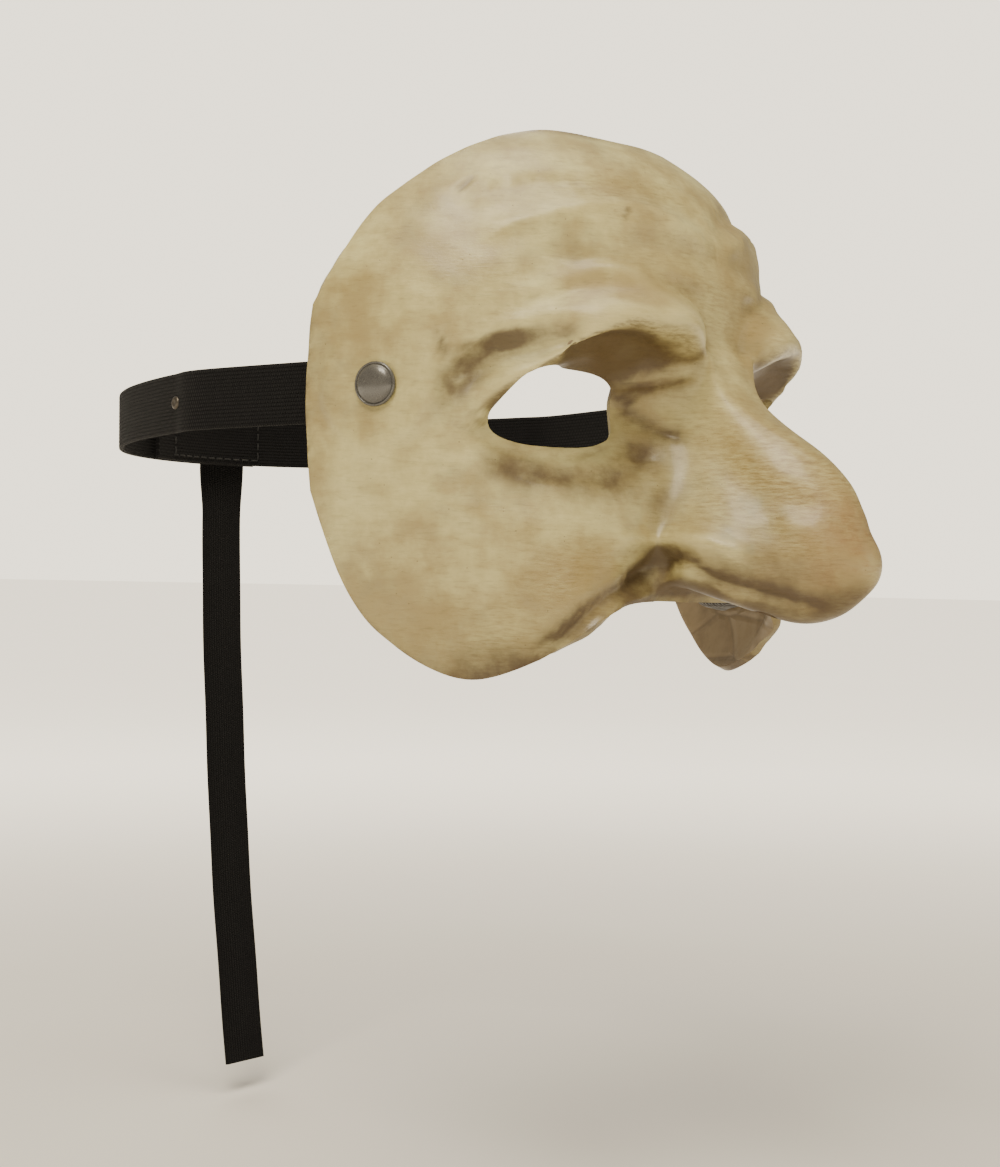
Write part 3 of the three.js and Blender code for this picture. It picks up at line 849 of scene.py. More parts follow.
@dataclass(frozen=True)
class Tape(Finish):
    """Hook tape or loop tape: rows of moulded hooks, or brushed loops."""

    name: str = "hook_tape"
    roughness: float = 0.7
    hooked: bool = True

    def dress(self, graph: Graph, shader: bpy.types.Node) -> None:
        """Small cells in rows for hooks, tangled noise for loops."""
        place = graph.place()
        if self.hooked:
            cells = graph.node("TexVoronoi", feature="F1")
            cells.inputs["Scale"].default_value = 1100.0
            cells.inputs["Randomness"].default_value = 0.25
            graph.link(place, cells.inputs["Vector"])
            height = graph.remap(cells.outputs["Distance"], 0.1, 0.5, 1.0, 0.0)
        else:
            height = graph.noise(place, 2600.0, 8, 0.8)
        lint = use(graph, dust_effect(), Vector=place, Amount=0.3)
        base = graph.blend(height, linear(9, 9, 10), linear(44, 43, 46))
        graph.link(graph.blend(lint.outputs[0], base, linear(126, 120, 112)),
                   shader.inputs["Base Color"])
        graph.link(graph.remap(height, 0, 1, 0.85, 0.45 if self.hooked else 0.9),
                   shader.inputs["Roughness"])
        graph.link(graph.bump(height, 0.35, 1.0), shader.inputs["Normal"])


@dataclass(frozen=True)
class Foam(Finish):
    """Thin dark jersey over foam, with knit courses and a little pilling."""

    name: str = "jersey_over_foam"
    roughness: float = 0.9
    yarn: Colour = (62, 56, 50)
    shade: Colour = (26, 23, 21)

    def dress(self, graph: Graph, shader: bpy.types.Node) -> None:
        """Knit from two crossed waves, with pills and worn patches."""
        place = graph.place()
        courses = graph.node("TexWave", wave_type="BANDS", bands_direction="Z")
        wales = graph.node("TexWave", wave_type="BANDS", bands_direction="X")
        for made in (courses, wales):
            graph.link(place, made.inputs["Vector"])
            made.inputs["Scale"].default_value = 380.0
            made.inputs["Distortion"].default_value = 1.2
            made.inputs["Detail"].default_value = 1.0
        knit = graph.math("MULTIPLY", courses.outputs["Fac"], wales.outputs["Fac"])
        worn = use(graph, mottle_effect(), Vector=place, Scale=90.0, Low=0.4, High=0.68)
        grain = use(graph, grain_effect(), Vector=place, Scale=1900.0, Specks=0.12)
        base = graph.blend(knit, linear(*self.shade), linear(*self.yarn))
        base = graph.blend(graph.math("MULTIPLY", worn.outputs[0], 0.35), base, linear(92, 84, 74))
        base = graph.blend(graph.math("MULTIPLY", grain.outputs["Specks"], 0.5), base,
                           linear(120, 110, 98))
        graph.link(base, shader.inputs["Base Color"])
        shader.inputs["Sheen Weight"].default_value = 0.4
        graph.link(graph.remap(knit, 0, 1, 0.98, 0.8), shader.inputs["Roughness"])
        height = graph.math("ADD", knit, grain.outputs["Specks"])
        graph.link(graph.bump(height, 0.25, 0.9), shader.inputs["Normal"])


@dataclass(frozen=True)
class Plaster(Finish):
    """Pale matt floor."""

    name: str = "pale_floor"
    roughness: float = 0.85
    glow: float = 1.9
    glow_start: float = 0.15
    glow_end: float = 1.3

    def dress(self, graph: Graph, shader: bpy.types.Node) -> None:
        """Almost even, with a faint tone, and a painted glow that grows with distance to meet the
        surroundings.
        """
        place = graph.place()
        tone = graph.remap(graph.noise(place, 2.0, 3), 0.3, 0.7)
        reach = graph.node("VectorMath", operation="LENGTH")
        graph.link(place, reach.inputs[0])
        far = graph.remap(reach.outputs["Value"], self.glow_start, self.glow_end, 0.0, 1.0)
        graph.link(graph.blend(far, linear(0, 0, 0), linear(240, 229, 208)),
                   shader.inputs["Emission Color"])
        shader.inputs["Emission Strength"].default_value = self.glow
        graph.link(graph.blend(tone, linear(240, 235, 226), linear(235, 229, 219)),
                   shader.inputs["Base Color"])


PAINT = AgedPaint()
PULP = RawPulp()
ENAMEL = Metal("grey_enamelled_cap", 0.3, (88, 86, 82), (72, 70, 67), 0.3, 0.5, 0.2)
STEEL = Metal()
DULL_RIVET = Metal("dull_rivet", 0.45, (96, 90, 82), (60, 55, 50), 1.0, 0.0, 0.5)
ELASTIC = WovenElastic()
THREAD = Metal("waxed_black_thread", 0.7, (22, 22, 24), (12, 12, 13), 0.0, 0.0, 0.9)
HOOKS = Tape()
LOOPS = Tape("loop_tape", 0.9, False)
JERSEY = Foam()


# ---- the moulded face -------------------------------------------------------------------


@dataclass(frozen=True)
class Stroke:
    """A crease or ridge drawn over the face, the same on both sides.

    Points are (distance from the middle, forwards, height) in mm.
    """

    points: tuple[tuple[float, float, float], ...]
    depth: float
    width: float
    # umber wash along the crease, partly painted shade in it
    wash: float = 0.0
    blur: float = 1.6


STROKES = (
    Stroke(((58, 22, 38), (48, 31, 42), (35, 39, 46), (24, 43, 47), (14, 48, 43), (5, 51, 39),
            (0, 51, 38)), 1.0, 2.6),
    Stroke(((60, 14, 45), (50, 23, 50), (36, 33, 52), (19, 42, 52), (5, 47, 47), (0, 48, 46)),
           -0.9, 3.2, 0.22, 2.2),
    Stroke(((49, 33, 34), (43, 39, 32), (35, 44, 33), (26, 49, 31), (20, 53, 27), (12, 54, 25)),
           -1.1, 2.4, 0.3, 2.2),
    Stroke(((56, 29, 21), (47, 38, 26), (40, 43, 29), (34, 47, 29), (29, 53, 24), (24, 56, 21)),
           0.55, 2.6),
    Stroke(((64, 19, 8), (60, 26, 12), (54, 34, 16), (49, 41, 18), (42, 49, 19), (33, 54, 17),
            (25, 57, 16)), 0.9, 3.4),
    Stroke(((63, 19, 1), (60, 27, 6.5), (53, 37, 9.5), (46, 43, 11), (37, 47, 11), (28, 49, 9.5),
            (22, 49, 7)), -2.4, 4.6, 0.5, 1.3),
    Stroke(((67, 14, 12), (65, 16, 7)), -0.8, 1.4, 0.2),
    Stroke(((59, 19, -3), (57, 20, -8), (50, 24, -13), (44, 28, -15.5), (38, 32, -15.8),
            (29, 34, -14), (25, 37, -10)), 1.1, 1.5),
    Stroke(((64, 17, -10), (57, 21, -13.5), (52, 25, -16.6), (45, 30, -17.6), (36, 35, -17.4),
            (28, 37, -15)), -0.5, 1.1, 0.25),
    Stroke(((56, 26, -19), (50, 31, -21.5), (44, 36, -22), (38, 40, -22), (32, 44, -22),
            (25, 45, -19), (21, 45, -14)), -1.2, 3.0, 0.95, 2.0),
    Stroke(((66, 14, -31), (54, 32, -34), (45, 42, -35), (35, 46, -35), (25, 49, -34)), 0.7, 4.5),
    Stroke(((65, 16, -32), (62, 21, -37)), -0.5, 1.6, 0.12),
    Stroke(((22, 54, -44), (28, 49, -47.5), (37, 48, -51), (43, 45, -55), (47, 41, -61),
            (50, 38, -65)), -1.5, 2.6, 0.7, 1.8),
    Stroke(((21, 48, -50.5), (34, 47, -53), (40, 46, -57), (45, 42, -63), (50, 35, -67)),
           0.7, 1.4),
    Stroke(((36, 46, -39), (30, 47.5, -38), (23, 52, -37), (21, 59, -37), (20, 66, -38),
            (18, 73, -41)), 1.5, 2.6),
    Stroke(((32, 47.5, -47), (26, 49, -45), (22.5, 53, -42.5), (22, 59, -42.5), (21, 63, -45),
            (18, 70, -48), (13, 80, -51), (7, 88, -53)), -1.6, 2.3, 0.75, 1.7),
    Stroke(((11, 60, -12), (13, 64, -16), (14, 71, -23), (15, 76, -30), (16, 79, -37)),
           -0.7, 4.0, 0.12, 2.4),
    Stroke(((25, 39, -2), (20, 43, -7), (15, 50, -10)), -0.8, 1.8, 0.35),
    Stroke(((24, 40, 2), (18, 46, 4), (13, 52, 6)), 0.8, 2.0),
    Stroke(((22, 44, 9), (15, 50, 11), (8, 54, 12)), -0.6, 2.4, 0.35, 2.0),
    Stroke(((13, 83, -33), (5, 93, -31), (0, 95, -31)), 0.5, 3.0),
)

# Patches of colour: attribute, centre (from the middle, forwards, height), radii, amount.
PATCHES = (
    # The wash patches darken the eye sockets, under the eyes, under the nose and the lower edge: partly umber
    # wash, partly painted shade in those recesses. The patch under the brow is painted shade alone.
    ("wash", (63, 16, -3), (6, 7, 8), 0.65),
    ("under", (43, 38, 8), (27, 24, 14), 1.25),
    ("wash", (26, 46, 6), (9, 11, 10), 0.5),
    ("wash", (24, 44, 4), (8, 9, 7), 0.55),
    ("wash", (36, 42, -22), (20, 12, 7.5), 0.85),
    ("wash", (27, 42, -14), (7, 10, 8), 0.35),
    ("wash", (46, 42, -64), (9, 8, 6), 0.35),
    ("wash", (22, 54, -49), (15, 16, 6), 0.95),
    ("wash", (52, 28, -71), (22, 20, 9), 0.65),
    ("wash", (40, 44, -60), (14, 12, 10), 0.3),
    ("wash", (8, 80, -56), (18, 22, 9), 0.75),
    ("wash", (26, 50, -52), (15, 11, 9), 1.0),
    ("wash", (16, 72, -45), (11, 24, 8), 0.62),
    ("wash", (40, 40, -14), (20, 12, 7), 0.5),
    ("wash", (5, 50, 20), (12, 8, 8), 0.16),
    ("tawny", (42, 40, -50), (17, 16, 13), 0.95),
    ("tawny", (30, 40, 50), (30, 18, 8), 0.6),
    ("tawny", (8, 78, -28), (22, 34, 36), 1.0),
    ("tawny", (52, 28, -62), (18, 18, 16), 0.6),
    ("tawny", (12, 50, 22), (30, 16, 20), 0.6),
    ("sage", (16, 73, -33), (7, 10, 9), 0.85),
    ("sage", (17, 60, -24), (6, 8, 10), 0.35),
    ("sage", (44, 24, 30), (12, 12, 8), 0.22),
    ("russet", (3, 97, -42), (15, 11, 18), 0.85),
    ("russet", (20, 48, 2), (7, 8, 8), 0.4),
    ("russet", (42, 32, 8), (9, 10, 5), 0.25),
    ("coarse", (46, 38, -49), (11, 12, 12), 1.0),
    ("coarse", (10, 86, -36), (12, 14, 16), 0.25),
)

# Small cracks in the paint: ends as (signed X, forwards, height), width, depth in mm.
CRACKS = (
    ((-58, 13, 49), (-55, 14, 52), 0.5, 0.5),
    ((-30, 43, 43), (-28, 43, 45.5), 0.4, 0.4),
    ((-66, 16, 10.5), (-66, 16, 7.5), 0.4, 0.4),
    ((-53, 34, 21), (-52.6, 34.2, 21.6), 0.5, 0.4),
    ((47, 30, 40), (44, 32, 43), 0.4, 0.4),
    ((61, 20, -52), (63, 16, -48), 0.4, 0.4),
    ((12, 84, -24), (9, 88, -26), 0.4, 0.3),
)


@dataclass
class FaceForm:
    """The moulded surface of the face, as places over a grid of columns and rows, in mm."""

    half_width: float = 76
    depth: float = 75
    forehead_height: float = 69.5
    cheek_drop: float = 73
    bowl_centre_y: float = 22
    lip_drop: float = 52.5
    nose_reach: float = 100.3
    nose_half_width: float = 21
    eye_x: float = 40.3
    eye_z: float = -4.6
    socket_depth: float = 17
    brow_rise: float = 11
    stud_tilt: float = 16
    cap_radius: float = 5.62
    nose_share: float = 8 / 23
    nose_rows: float = 23 / 38

    def __post_init__(self) -> None:
        """Builds the curves that the form is read from."""
        self.bowl_width = smooth_through([(-80, 0.86), (-68, 0.93), (-52, 0.975), (-30, 1), (0, 1),
                                          (25, 1), (45, 0.92), (57, 0.82), (66, 0.7), (76, 0.45)])
        self.bowl_depth = smooth_through([(-80, 0.82), (-68, 0.9), (-52, 0.96), (-30, 0.985),
                                          (0, 1), (25, 1.01), (45, 0.94), (57, 0.84), (66, 0.71),
                                          (76, 0.45)])
        self.top_edge = smooth_through([(0, 0.975), (0.2, 0.99), (0.38, 1), (0.6, 0.955),
                                        (0.76, 0.86), (0.87, 0.74), (0.94, 0.61), (1, 0.3)])
        self.bottom_edge = smooth_through([(0, self.lip_drop / self.cheek_drop), (0.22, 0.72),
                                           (0.35, 0.735), (0.45, 0.79), (0.53, 0.88),
                                           (0.61, 0.955), (0.7, 0.995), (0.79, 0.965),
                                           (0.87, 0.88), (0.94, 0.73), (1, 0.36)])
        self.side_angle = smooth_through([(-80, 78), (-55, 84), (-38, 86.5), (-18, 88.5),
                                          (0, 89.3), (14, 88.6), (26, 87), (40, 84.5), (80, 80)])
        self.nose_root = smooth_through([(-55, 0.95), (-44, 1), (-30, 0.93), (-16, 0.7),
                                         (-5, 0.55), (5, 0.5), (20, 0.55), (70, 0.95)])
        line = np.array([(50, -self.lip_drop), (51, -49), (57, -49.5), (67, -53.8), (78, -57.2),
                         (87, -56.2), (94.5, -51.8), (self.nose_reach - 0.3, -46),
                         (self.nose_reach, -40), (95.6, -33), (92.5, -24.5), (85, -16), (73, -8),
                         (64, -1.5), (59, 5), (57.5, 12)], float)
        self.nose_top = line[-1, 1]
        self.nose_line = rounded_path(line, 400)
        self.stud_x = self.half_width * math.sqrt(1 - (self.bowl_centre_y / self.depth) ** 2)

    def forward_rise(self, x: np.ndarray, z: np.ndarray) -> np.ndarray:
        """How far brow, socket, bags and furrows push the face forwards.

        Args:
            x: distance from the middle, either sign.
            z: height.

        Returns:
            The push, in mm.
        """
        side = np.abs(x)
        reach = ((side - self.eye_x + 1) / 22) ** 2 + ((z - self.eye_z) / 16) ** 2
        socket = self.socket_depth * np.exp(-(reach**1.6))
        brow_height = 17 - 12 * ((side - 28) / 25) ** 2
        span = ease(side, 4, 22) * (1 - ease(side, 50, 68))
        brow = (self.brow_rise + 7 * ease(side, 34, 48)) * bell(z, brow_height, 8) * span
        bag = 2.5 * bell(z, -20 + 0.12 * np.abs(side - 36), 5) * bell(side, 36, 17)
        cheek = 12 * bell(side, 46, 17) * bell(z, -57, 22)
        furrows = 1.6 * bell(z, 42, 4.5) + 1.4 * bell(z, 30, 4) - 1.3 * bell(z, 36, 3.5)
        return brow - socket + bag + cheek + furrows * (1 - ease(side, 30, 55))

    def flat_at_studs(self, place: np.ndarray) -> np.ndarray:
        """Flattens the face under each press stud.

        Args:
            place: places, the last axis X, Y, Z.

        Returns:
            The flattened places.
        """
        side = np.sign(place[..., :1])
        tilt = math.radians(self.stud_tilt)
        normal = np.concatenate([side * math.cos(tilt), np.full_like(side, -math.sin(tilt)),
                                 np.zeros_like(side)], axis=-1)
        centre = np.concatenate([side * self.stud_x, np.zeros_like(side), np.zeros_like(side)],
                                axis=-1)
        offset = place - centre
        above = (offset * normal).sum(-1, keepdims=True)
        reach = np.linalg.norm(offset, axis=-1, keepdims=True)
        flat = self.cap_radius + 4 + np.where(above > 0, 12.0, 0.0)
        hold = 1 - ease(reach - flat, 0, 7)
        return place - normal * above * hold

    def places(self, column: np.ndarray, row: np.ndarray) -> np.ndarray:
        """Reads the form.

        Args:
            column: -1 at the wearer's right edge, 0 in the middle, 1 at the left edge.
            row: 0 at the bottom edge, 1 at the top edge.

        Returns:
            Places in mm, the last axis X, Y, Z.
        """
        side = np.where(column < 0, -1.0, 1.0)
        span = np.abs(column)
        nose = np.minimum(span / self.nose_share, 1)
        cheek = np.maximum(span - self.nose_share, 0) / (1 - self.nose_share)
        spread = cheek * (1.25 - 0.25 * cheek * cheek)
        edge = 0.235 * nose + 0.765 * spread
        low = -self.cheek_drop * self.bottom_edge(edge)
        high = self.forehead_height * self.top_edge(edge)
        split = self.nose_rows
        change = ease(edge, 0.3, 1)
        middle = self.nose_top * (1 - change) + 0.5 * (low + high) * change
        along = row / split
        z = np.where(row < split, low + (middle - low) * along,
                     middle + (high - middle) * (row - split) / (1 - split))
        root_x = self.nose_half_width * self.nose_root(z)
        width = self.half_width * self.bowl_width(z)
        root_angle = np.arcsin(root_x / width)
        quarter = nose * math.pi / 2
        angle = np.where(span <= self.nose_share, np.arcsin(root_x * np.sin(quarter) / width),
                         root_angle + (np.radians(self.side_angle(z)) - root_angle) * spread)
        x = side * width * np.sin(angle)
        y = self.bowl_centre_y - self.depth * self.bowl_depth(z) * np.cos(angle)
        y = y - self.forward_rise(x, z) * (1 - 0.6 * bell(nose, 0, 0.6))
        inside = (row < split) & (span < self.nose_share)
        at = np.clip(along, 0, 1) * (len(self.nose_line) - 1)
        forwards = np.interp(at, np.arange(len(self.nose_line)), self.nose_line[:, 0])
        height = np.interp(at, np.arange(len(self.nose_line)), self.nose_line[:, 1])
        back = self.bowl_centre_y - self.depth * self.bowl_depth(z)
        round_off = np.where(inside, np.maximum(np.cos(quarter), 0) ** 0.85, 0)
        wing = 3.5 * bell(nose, 0.78, 0.16) * bell(along, 0.3, 0.14)
        x = x + np.where(inside, side * wing, 0)
        y = y + (-forwards - back) * round_off
        z = z + (height - z) * round_off
        return self.flat_at_studs(np.stack([x, y, z], axis=-1))


@dataclass
class MaskShell:
    """The moulded shell with its eye holes, stud holes and breathing holes."""

    form: FaceForm = field(default_factory=FaceForm)
    columns: int = 224
    rows: int = 188
    wall: float = 2.4
    eye_width: float = 31.4
    eye_height: float = 19.6
    nostril_x: float = 8
    nostril_back: float = 27
    nostril_radius: float = 3.2
    rivet_radius: float = 1.8
    smoothing: int = 14
    rim_radius: float = 0.8
    hole_passes: int = 2
    eye_power: float = 2.9
    eye_corner_power: float = 4.0
    eye_back: float = -8
    nostril_top: float = -44
    outline_reach: float = 5.0
    # painted shade on every face that looks down
    underside_shade: float = 0.62

    def build(self) -> bpy.types.Object:
        """Moulds the shell.

        Returns:
            The finished shell, riding on its body.
        """
        bpy.ops.object.select_all(action="DESELECT")
        bpy.ops.mesh.primitive_grid_add(x_subdivisions=self.columns, y_subdivisions=self.rows,
                                        size=2, location=(0, 0, 0))
        shell = new_active("moulded_shell")
        seed = coordinates(shell)
        order = np.lexsort((seed[:, 1], seed[:, 0]))
        shape = (self.columns + 1, self.rows + 1)
        column = seed[order, 0].reshape(shape)
        row = (seed[order, 1].reshape(shape) + 1) / 2
        grid = self.form.places(column, row)
        for _ in range(self.smoothing):
            grid = self.evened(grid)
        grid, paint = self.sculpted(grid)
        places = np.empty_like(seed)
        places[order] = grid.reshape(-1, 3)
        move_vertices(shell, places * MM)
        for name, values in paint.items():
            stored = np.empty(len(seed))
            stored[order] = values.ravel()
            layer = shell.data.attributes.new(name, "FLOAT", "POINT")
            layer.data.foreach_set("value", stored.astype(np.float32))
        self.face_outwards(shell)
        self.open_holes(shell)
        PAINT.put_on(shell)
        shell.data.materials.append(PULP.material())
        outer = len(shell.data.vertices)
        apply_modifier(shell, "SOLIDIFY", thickness=self.wall * MM, offset=-1,
                       use_even_offset=False, use_quality_normals=True, material_offset=1,
                       material_offset_rim=0)
        self.soften_inside(shell, outer)
        apply_modifier(shell, "BEVEL", width=self.rim_radius * MM, segments=3,
                       limit_method="ANGLE", angle_limit=math.radians(58), use_clamp_overlap=True)
        shade_smooth(shell, 50)
        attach(shell, Body.SHELL.value)
        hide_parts("mask_shell")
        return shell

    def evened(self, grid: np.ndarray) -> np.ndarray:
        """Evens out creases without moving the edges.

        Args:
            grid: places over the grid.

        Returns:
            The evened places.
        """
        mean = (grid[:-2, 1:-1] + grid[2:, 1:-1] + grid[1:-1, :-2] + grid[1:-1, 2:]) / 4
        out = grid.copy()
        out[1:-1, 1:-1] = grid[1:-1, 1:-1] * 0.4 + mean * 0.6
        return self.form.flat_at_studs(out)

    @staticmethod
    def normals(grid: np.ndarray) -> np.ndarray:
        """Outward normals of a grid of places."""
        across = np.gradient(grid, axis=0)
        upward = np.gradient(grid, axis=1)
        normal = np.cross(across, upward)
        return normal / np.linalg.norm(normal, axis=-1, keepdims=True)

    def sculpted(self, grid: np.ndarray) -> tuple[np.ndarray, dict[str, np.ndarray]]:
        """Works creases, ridges, dents and cracks into the form, and says where paint gathers and where
        painted shade falls.

        Args:
            grid: the evened places.

        Returns:
            The sculpted places, and a value for each place under each paint attribute.
        """
        both = np.stack([np.abs(grid[..., 0]), -grid[..., 1], grid[..., 2]], axis=-1)
        flat = both.reshape(-1, 3)
        paint = {name: np.zeros(grid.shape[:2])
                 for name in ("wash", "cavity", "ridge", "rim", "crack", "sage", "russet",
                              "tawny", "coarse", "under")}
        push = np.zeros(grid.shape[:2])
        away = np.linalg.norm(np.stack([flat[:, 0] - self.form.stud_x, flat[:, 1], flat[:, 2]],
                                       axis=1), axis=1).reshape(push.shape)
        free = ease(away, 9, 15)
        for number, stroke in enumerate(STROKES):
            line = rounded_path(np.array(stroke.points, float), 44)
            snapped = flat[[int(np.argmin(((flat - p) ** 2).sum(1))) for p in line]]
            gap = np.sqrt(np.min([((flat - p) ** 2).sum(1) for p in snapped], axis=0))
            share = np.min([((flat - p) ** 2).sum(1) for p in snapped[4:-4]], axis=0)
            inner = np.sqrt(share).reshape(push.shape)
            gap = gap.reshape(push.shape)
            fade = np.exp(-(np.maximum(inner - gap, 0) / 5) ** 2)
            weight = 1 + 0.14 * np.sin(number * 2.1 + grid[..., 2] / 7) * np.sign(grid[..., 0])
            push += stroke.depth * weight * np.exp(-((gap / stroke.width) ** 2)) * fade * free
            paint["wash"] = np.maximum(
                paint["wash"], stroke.wash * np.exp(-((gap / (stroke.width * stroke.blur)) ** 2)))
        x, y, z = grid[..., 0], grid[..., 1], grid[..., 2]
        hand = (0.35 * np.sin(x / 11 + z / 17) * np.sin(z / 13 - y / 15)
                + 0.22 * np.sin(x / 6.3 - z / 7.1 + 1.3) * np.sin(z / 8.7 + y / 9.3)
                + 0.09 * np.sin(x / 2.9 + z / 3.7) * np.sin(z / 3.1 - y / 4.3 + 0.6))
        push += hand * free
        for start, end, width, depth in CRACKS:
            place = np.stack([x, -y, z], axis=-1)
            a, b = np.array(start, float), np.array(end, float)
            share = np.clip(((place - a) @ (b - a)) / ((b - a) @ (b - a)), 0, 1)
            near = a + share[..., None] * (b - a)
            close = place - near
            close[..., 1] *= 0.3
            mark = np.exp(-((np.linalg.norm(close, axis=-1) / (width * 1.15)) ** 2))
            push -= depth * mark
            paint["crack"] = np.maximum(paint["crack"], 0.6 * mark)
        grid = grid + self.normals(grid) * push[..., None]
        for name, centre, radii, amount in PATCHES:
            reach = (((both - np.array(centre, float)) / np.array(radii, float)) ** 2).sum(-1)
            paint[name] = np.maximum(paint[name], amount * np.exp(-(reach**1.3)))
        # Painted shade: the patch under the brow darkens only faces that look down, and every face that looks
        # down gets more painted shade.
        down = -self.normals(grid)[..., 2]
        paint["wash"] = np.maximum(paint["wash"], paint.pop("under") * ease(down, -0.05, 0.4))
        paint["wash"] = paint["wash"] + self.underside_shade * ease(down, 0.12, 0.75)
        soft = grid
        for _ in range(30):
            soft = self.evened(soft)
        hollow = ((soft - grid) * self.normals(soft)).sum(-1)
        paint["cavity"] = ease(hollow, 0.05, 1.5)
        paint["ridge"] = ease(-hollow, 0.25, 1.5)
        edge = np.zeros(grid.shape[:2], bool)
        edge[[0, -1], :] = True
        edge[:, [0, -1]] = True
        rim = edge.astype(float)
        for _ in range(7):
            padded = np.pad(rim, 1, mode="edge")
            mean = (padded[:-2, 1:-1] + padded[2:, 1:-1] + padded[1:-1, :-2] + padded[1:-1, 2:]) / 4
            rim = np.maximum(rim, mean)
        paint["rim"] = rim
        return grid, paint

    @staticmethod
    def face_outwards(shell: bpy.types.Object) -> None:
        """Turns the open shell's faces to look away from the wearer."""
        only(shell)
        shell.data.update()
        middle = min(shell.data.polygons, key=lambda face: face.center.y)
        if middle.normal.y > 0:
            bpy.ops.object.mode_set(mode="EDIT")
            bpy.ops.mesh.select_all(action="SELECT")
            bpy.ops.mesh.flip_normals()
            bpy.ops.object.mode_set(mode="OBJECT")

    def openings(self) -> list[tuple[Callable[[np.ndarray], np.ndarray],
                                     Callable[[np.ndarray], np.ndarray]]]:
        """The holes through the shell.

        Returns:
            For each hole, a function that is below 1 inside it, and one that moves places
            near its edge onto the edge.
        """
        holes = []
        for side in Side:
            holes.append(self.eye_hole(side))
            holes.append(self.round_hole(side))
            holes.append(self.nostril(side))
        return holes

    def eye_hole(self, side: Side) -> tuple:
        """One eye hole: a squared oval seen from the front, fuller at its upper outer corner."""
        middle = np.array([side.value * self.form.eye_x, self.form.eye_z])
        half = np.array([self.eye_width, self.eye_height]) / 2

        def measure(place: np.ndarray) -> np.ndarray:
            """Below 1 inside the hole."""
            away = (place[:, [0, 2]] - middle) / half
            full = (away[:, 0] * side.value > 0) & (away[:, 1] > 0)
            power = np.where(full, self.eye_corner_power, self.eye_power)[:, None]
            value = (np.abs(away) ** power).sum(1) ** (1 / power[:, 0])
            return np.where(place[:, 1] > self.eye_back, WELL_OUTSIDE, value)

        def snap(place: np.ndarray) -> np.ndarray:
            """Moves places onto the oval."""
            value = measure(place)[:, None]
            flat = middle + (place[:, [0, 2]] - middle) / value
            return np.column_stack([flat[:, 0], place[:, 1], flat[:, 1]])

        return measure, snap

    def round_hole(self, side: Side) -> tuple:
        """The hole that a cap's shank passes through."""
        centre = np.array([side.value * self.form.stud_x, 0, 0])
        tilt = math.radians(self.form.stud_tilt)
        axis = np.array([side.value * math.cos(tilt), -math.sin(tilt), 0])

        def measure(place: np.ndarray) -> np.ndarray:
            """Below 1 inside the hole."""
            offset = place - centre
            offset = offset - (offset @ axis)[:, None] * axis
            return np.linalg.norm(offset, axis=1) / self.rivet_radius

        def snap(place: np.ndarray) -> np.ndarray:
            """Moves places onto the hole's edge."""
            offset = place - centre
            lift = (offset @ axis)[:, None] * axis
            return centre + lift + (offset - lift) / measure(place)[:, None]

        return measure, snap

    def nostril(self, side: Side) -> tuple:
        """One breathing hole under the nose."""
        middle = np.array([side.value * self.nostril_x, self.nostril_back - self.form.nose_reach])

        def measure(place: np.ndarray) -> np.ndarray:
            """Below 1 inside the hole."""
            value = np.linalg.norm(place[:, :2] - middle, axis=1) / self.nostril_radius
            return np.where(place[:, 2] > self.nostril_top, WELL_OUTSIDE, value)

        def snap(place: np.ndarray) -> np.ndarray:
            """Moves places onto the hole's edge."""
            flat = middle + (place[:, :2] - middle) / measure(place)[:, None]
            return np.column_stack([flat, place[:, 2]])

        return measure, snap

    def open_holes(self, shell: bpy.types.Object) -> None:
        """Opens each hole along its outline, so that its edge is one clean line.

        Args:
            shell: the open sheet of the face.
        """
        for measure, snap in self.openings():
            self.open_hole(shell, measure, snap)

    def open_hole(self, shell: bpy.types.Object, measure: Callable, snap: Callable) -> None:
        """Opens one hole.

        Vertices next to the outline slide along an edge onto it, faces that still straddle it
        are split, and the faces inside are deleted.

        Args:
            shell: the open sheet of the face.
            measure: below 1 inside the hole.
            snap: moves places onto the hole's outline.
        """
        places = coordinates(shell) / MM
        value = measure(places)
        work = bmesh.new()
        work.from_mesh(shell.data)
        born = list(work.verts)
        number = {v: i for i, v in enumerate(born)}
        moved: dict[int, tuple[float, np.ndarray]] = {}
        for edge in work.edges:
            a, b = (number[v] for v in edge.verts)
            crosses = (value[a] < 1) != (value[b] < 1)
            if not crosses or max(value[a], value[b]) > self.outline_reach:
                continue
            share = (1 - value[a]) / (value[b] - value[a])
            point = places[a] + (places[b] - places[a]) * share
            chosen, reach = (a, share) if share < 0.5 else (b, 1 - share)
            if chosen not in moved or reach < moved[chosen][0]:
                moved[chosen] = (reach, point)
        rim = sorted(moved)
        places[rim] = snap(np.array([moved[v][1] for v in rim]))
        inside = {int(v) for v in np.flatnonzero(value < 1)} - set(rim)
        outside = {int(v) for v in np.flatnonzero(value >= 1)} - set(rim)
        for face in list(work.faces):
            corners = [number[v] for v in face.verts]
            if inside.intersection(corners) and outside.intersection(corners):
                ends = [v for v in face.verts if number[v] in moved]
                if len(ends) == 2:
                    bmesh.ops.connect_verts(work, verts=ends)
        doomed = []
        for face in work.faces:
            corners = [number[v] for v in face.verts]
            if inside.intersection(corners):
                doomed.append(face)
            elif all(c in moved for c in corners):
                if measure(places[corners].mean(axis=0)[None])[0] < 1:
                    doomed.append(face)
        near = {number[v] for face in work.faces for v in face.verts
                if any(number[c] in moved for c in face.verts)} - set(rim) - inside
        bmesh.ops.delete(work, geom=doomed, context="FACES")
        kept = [i for i, v in enumerate(born) if v.is_valid]
        work.to_mesh(shell.data)
        work.free()
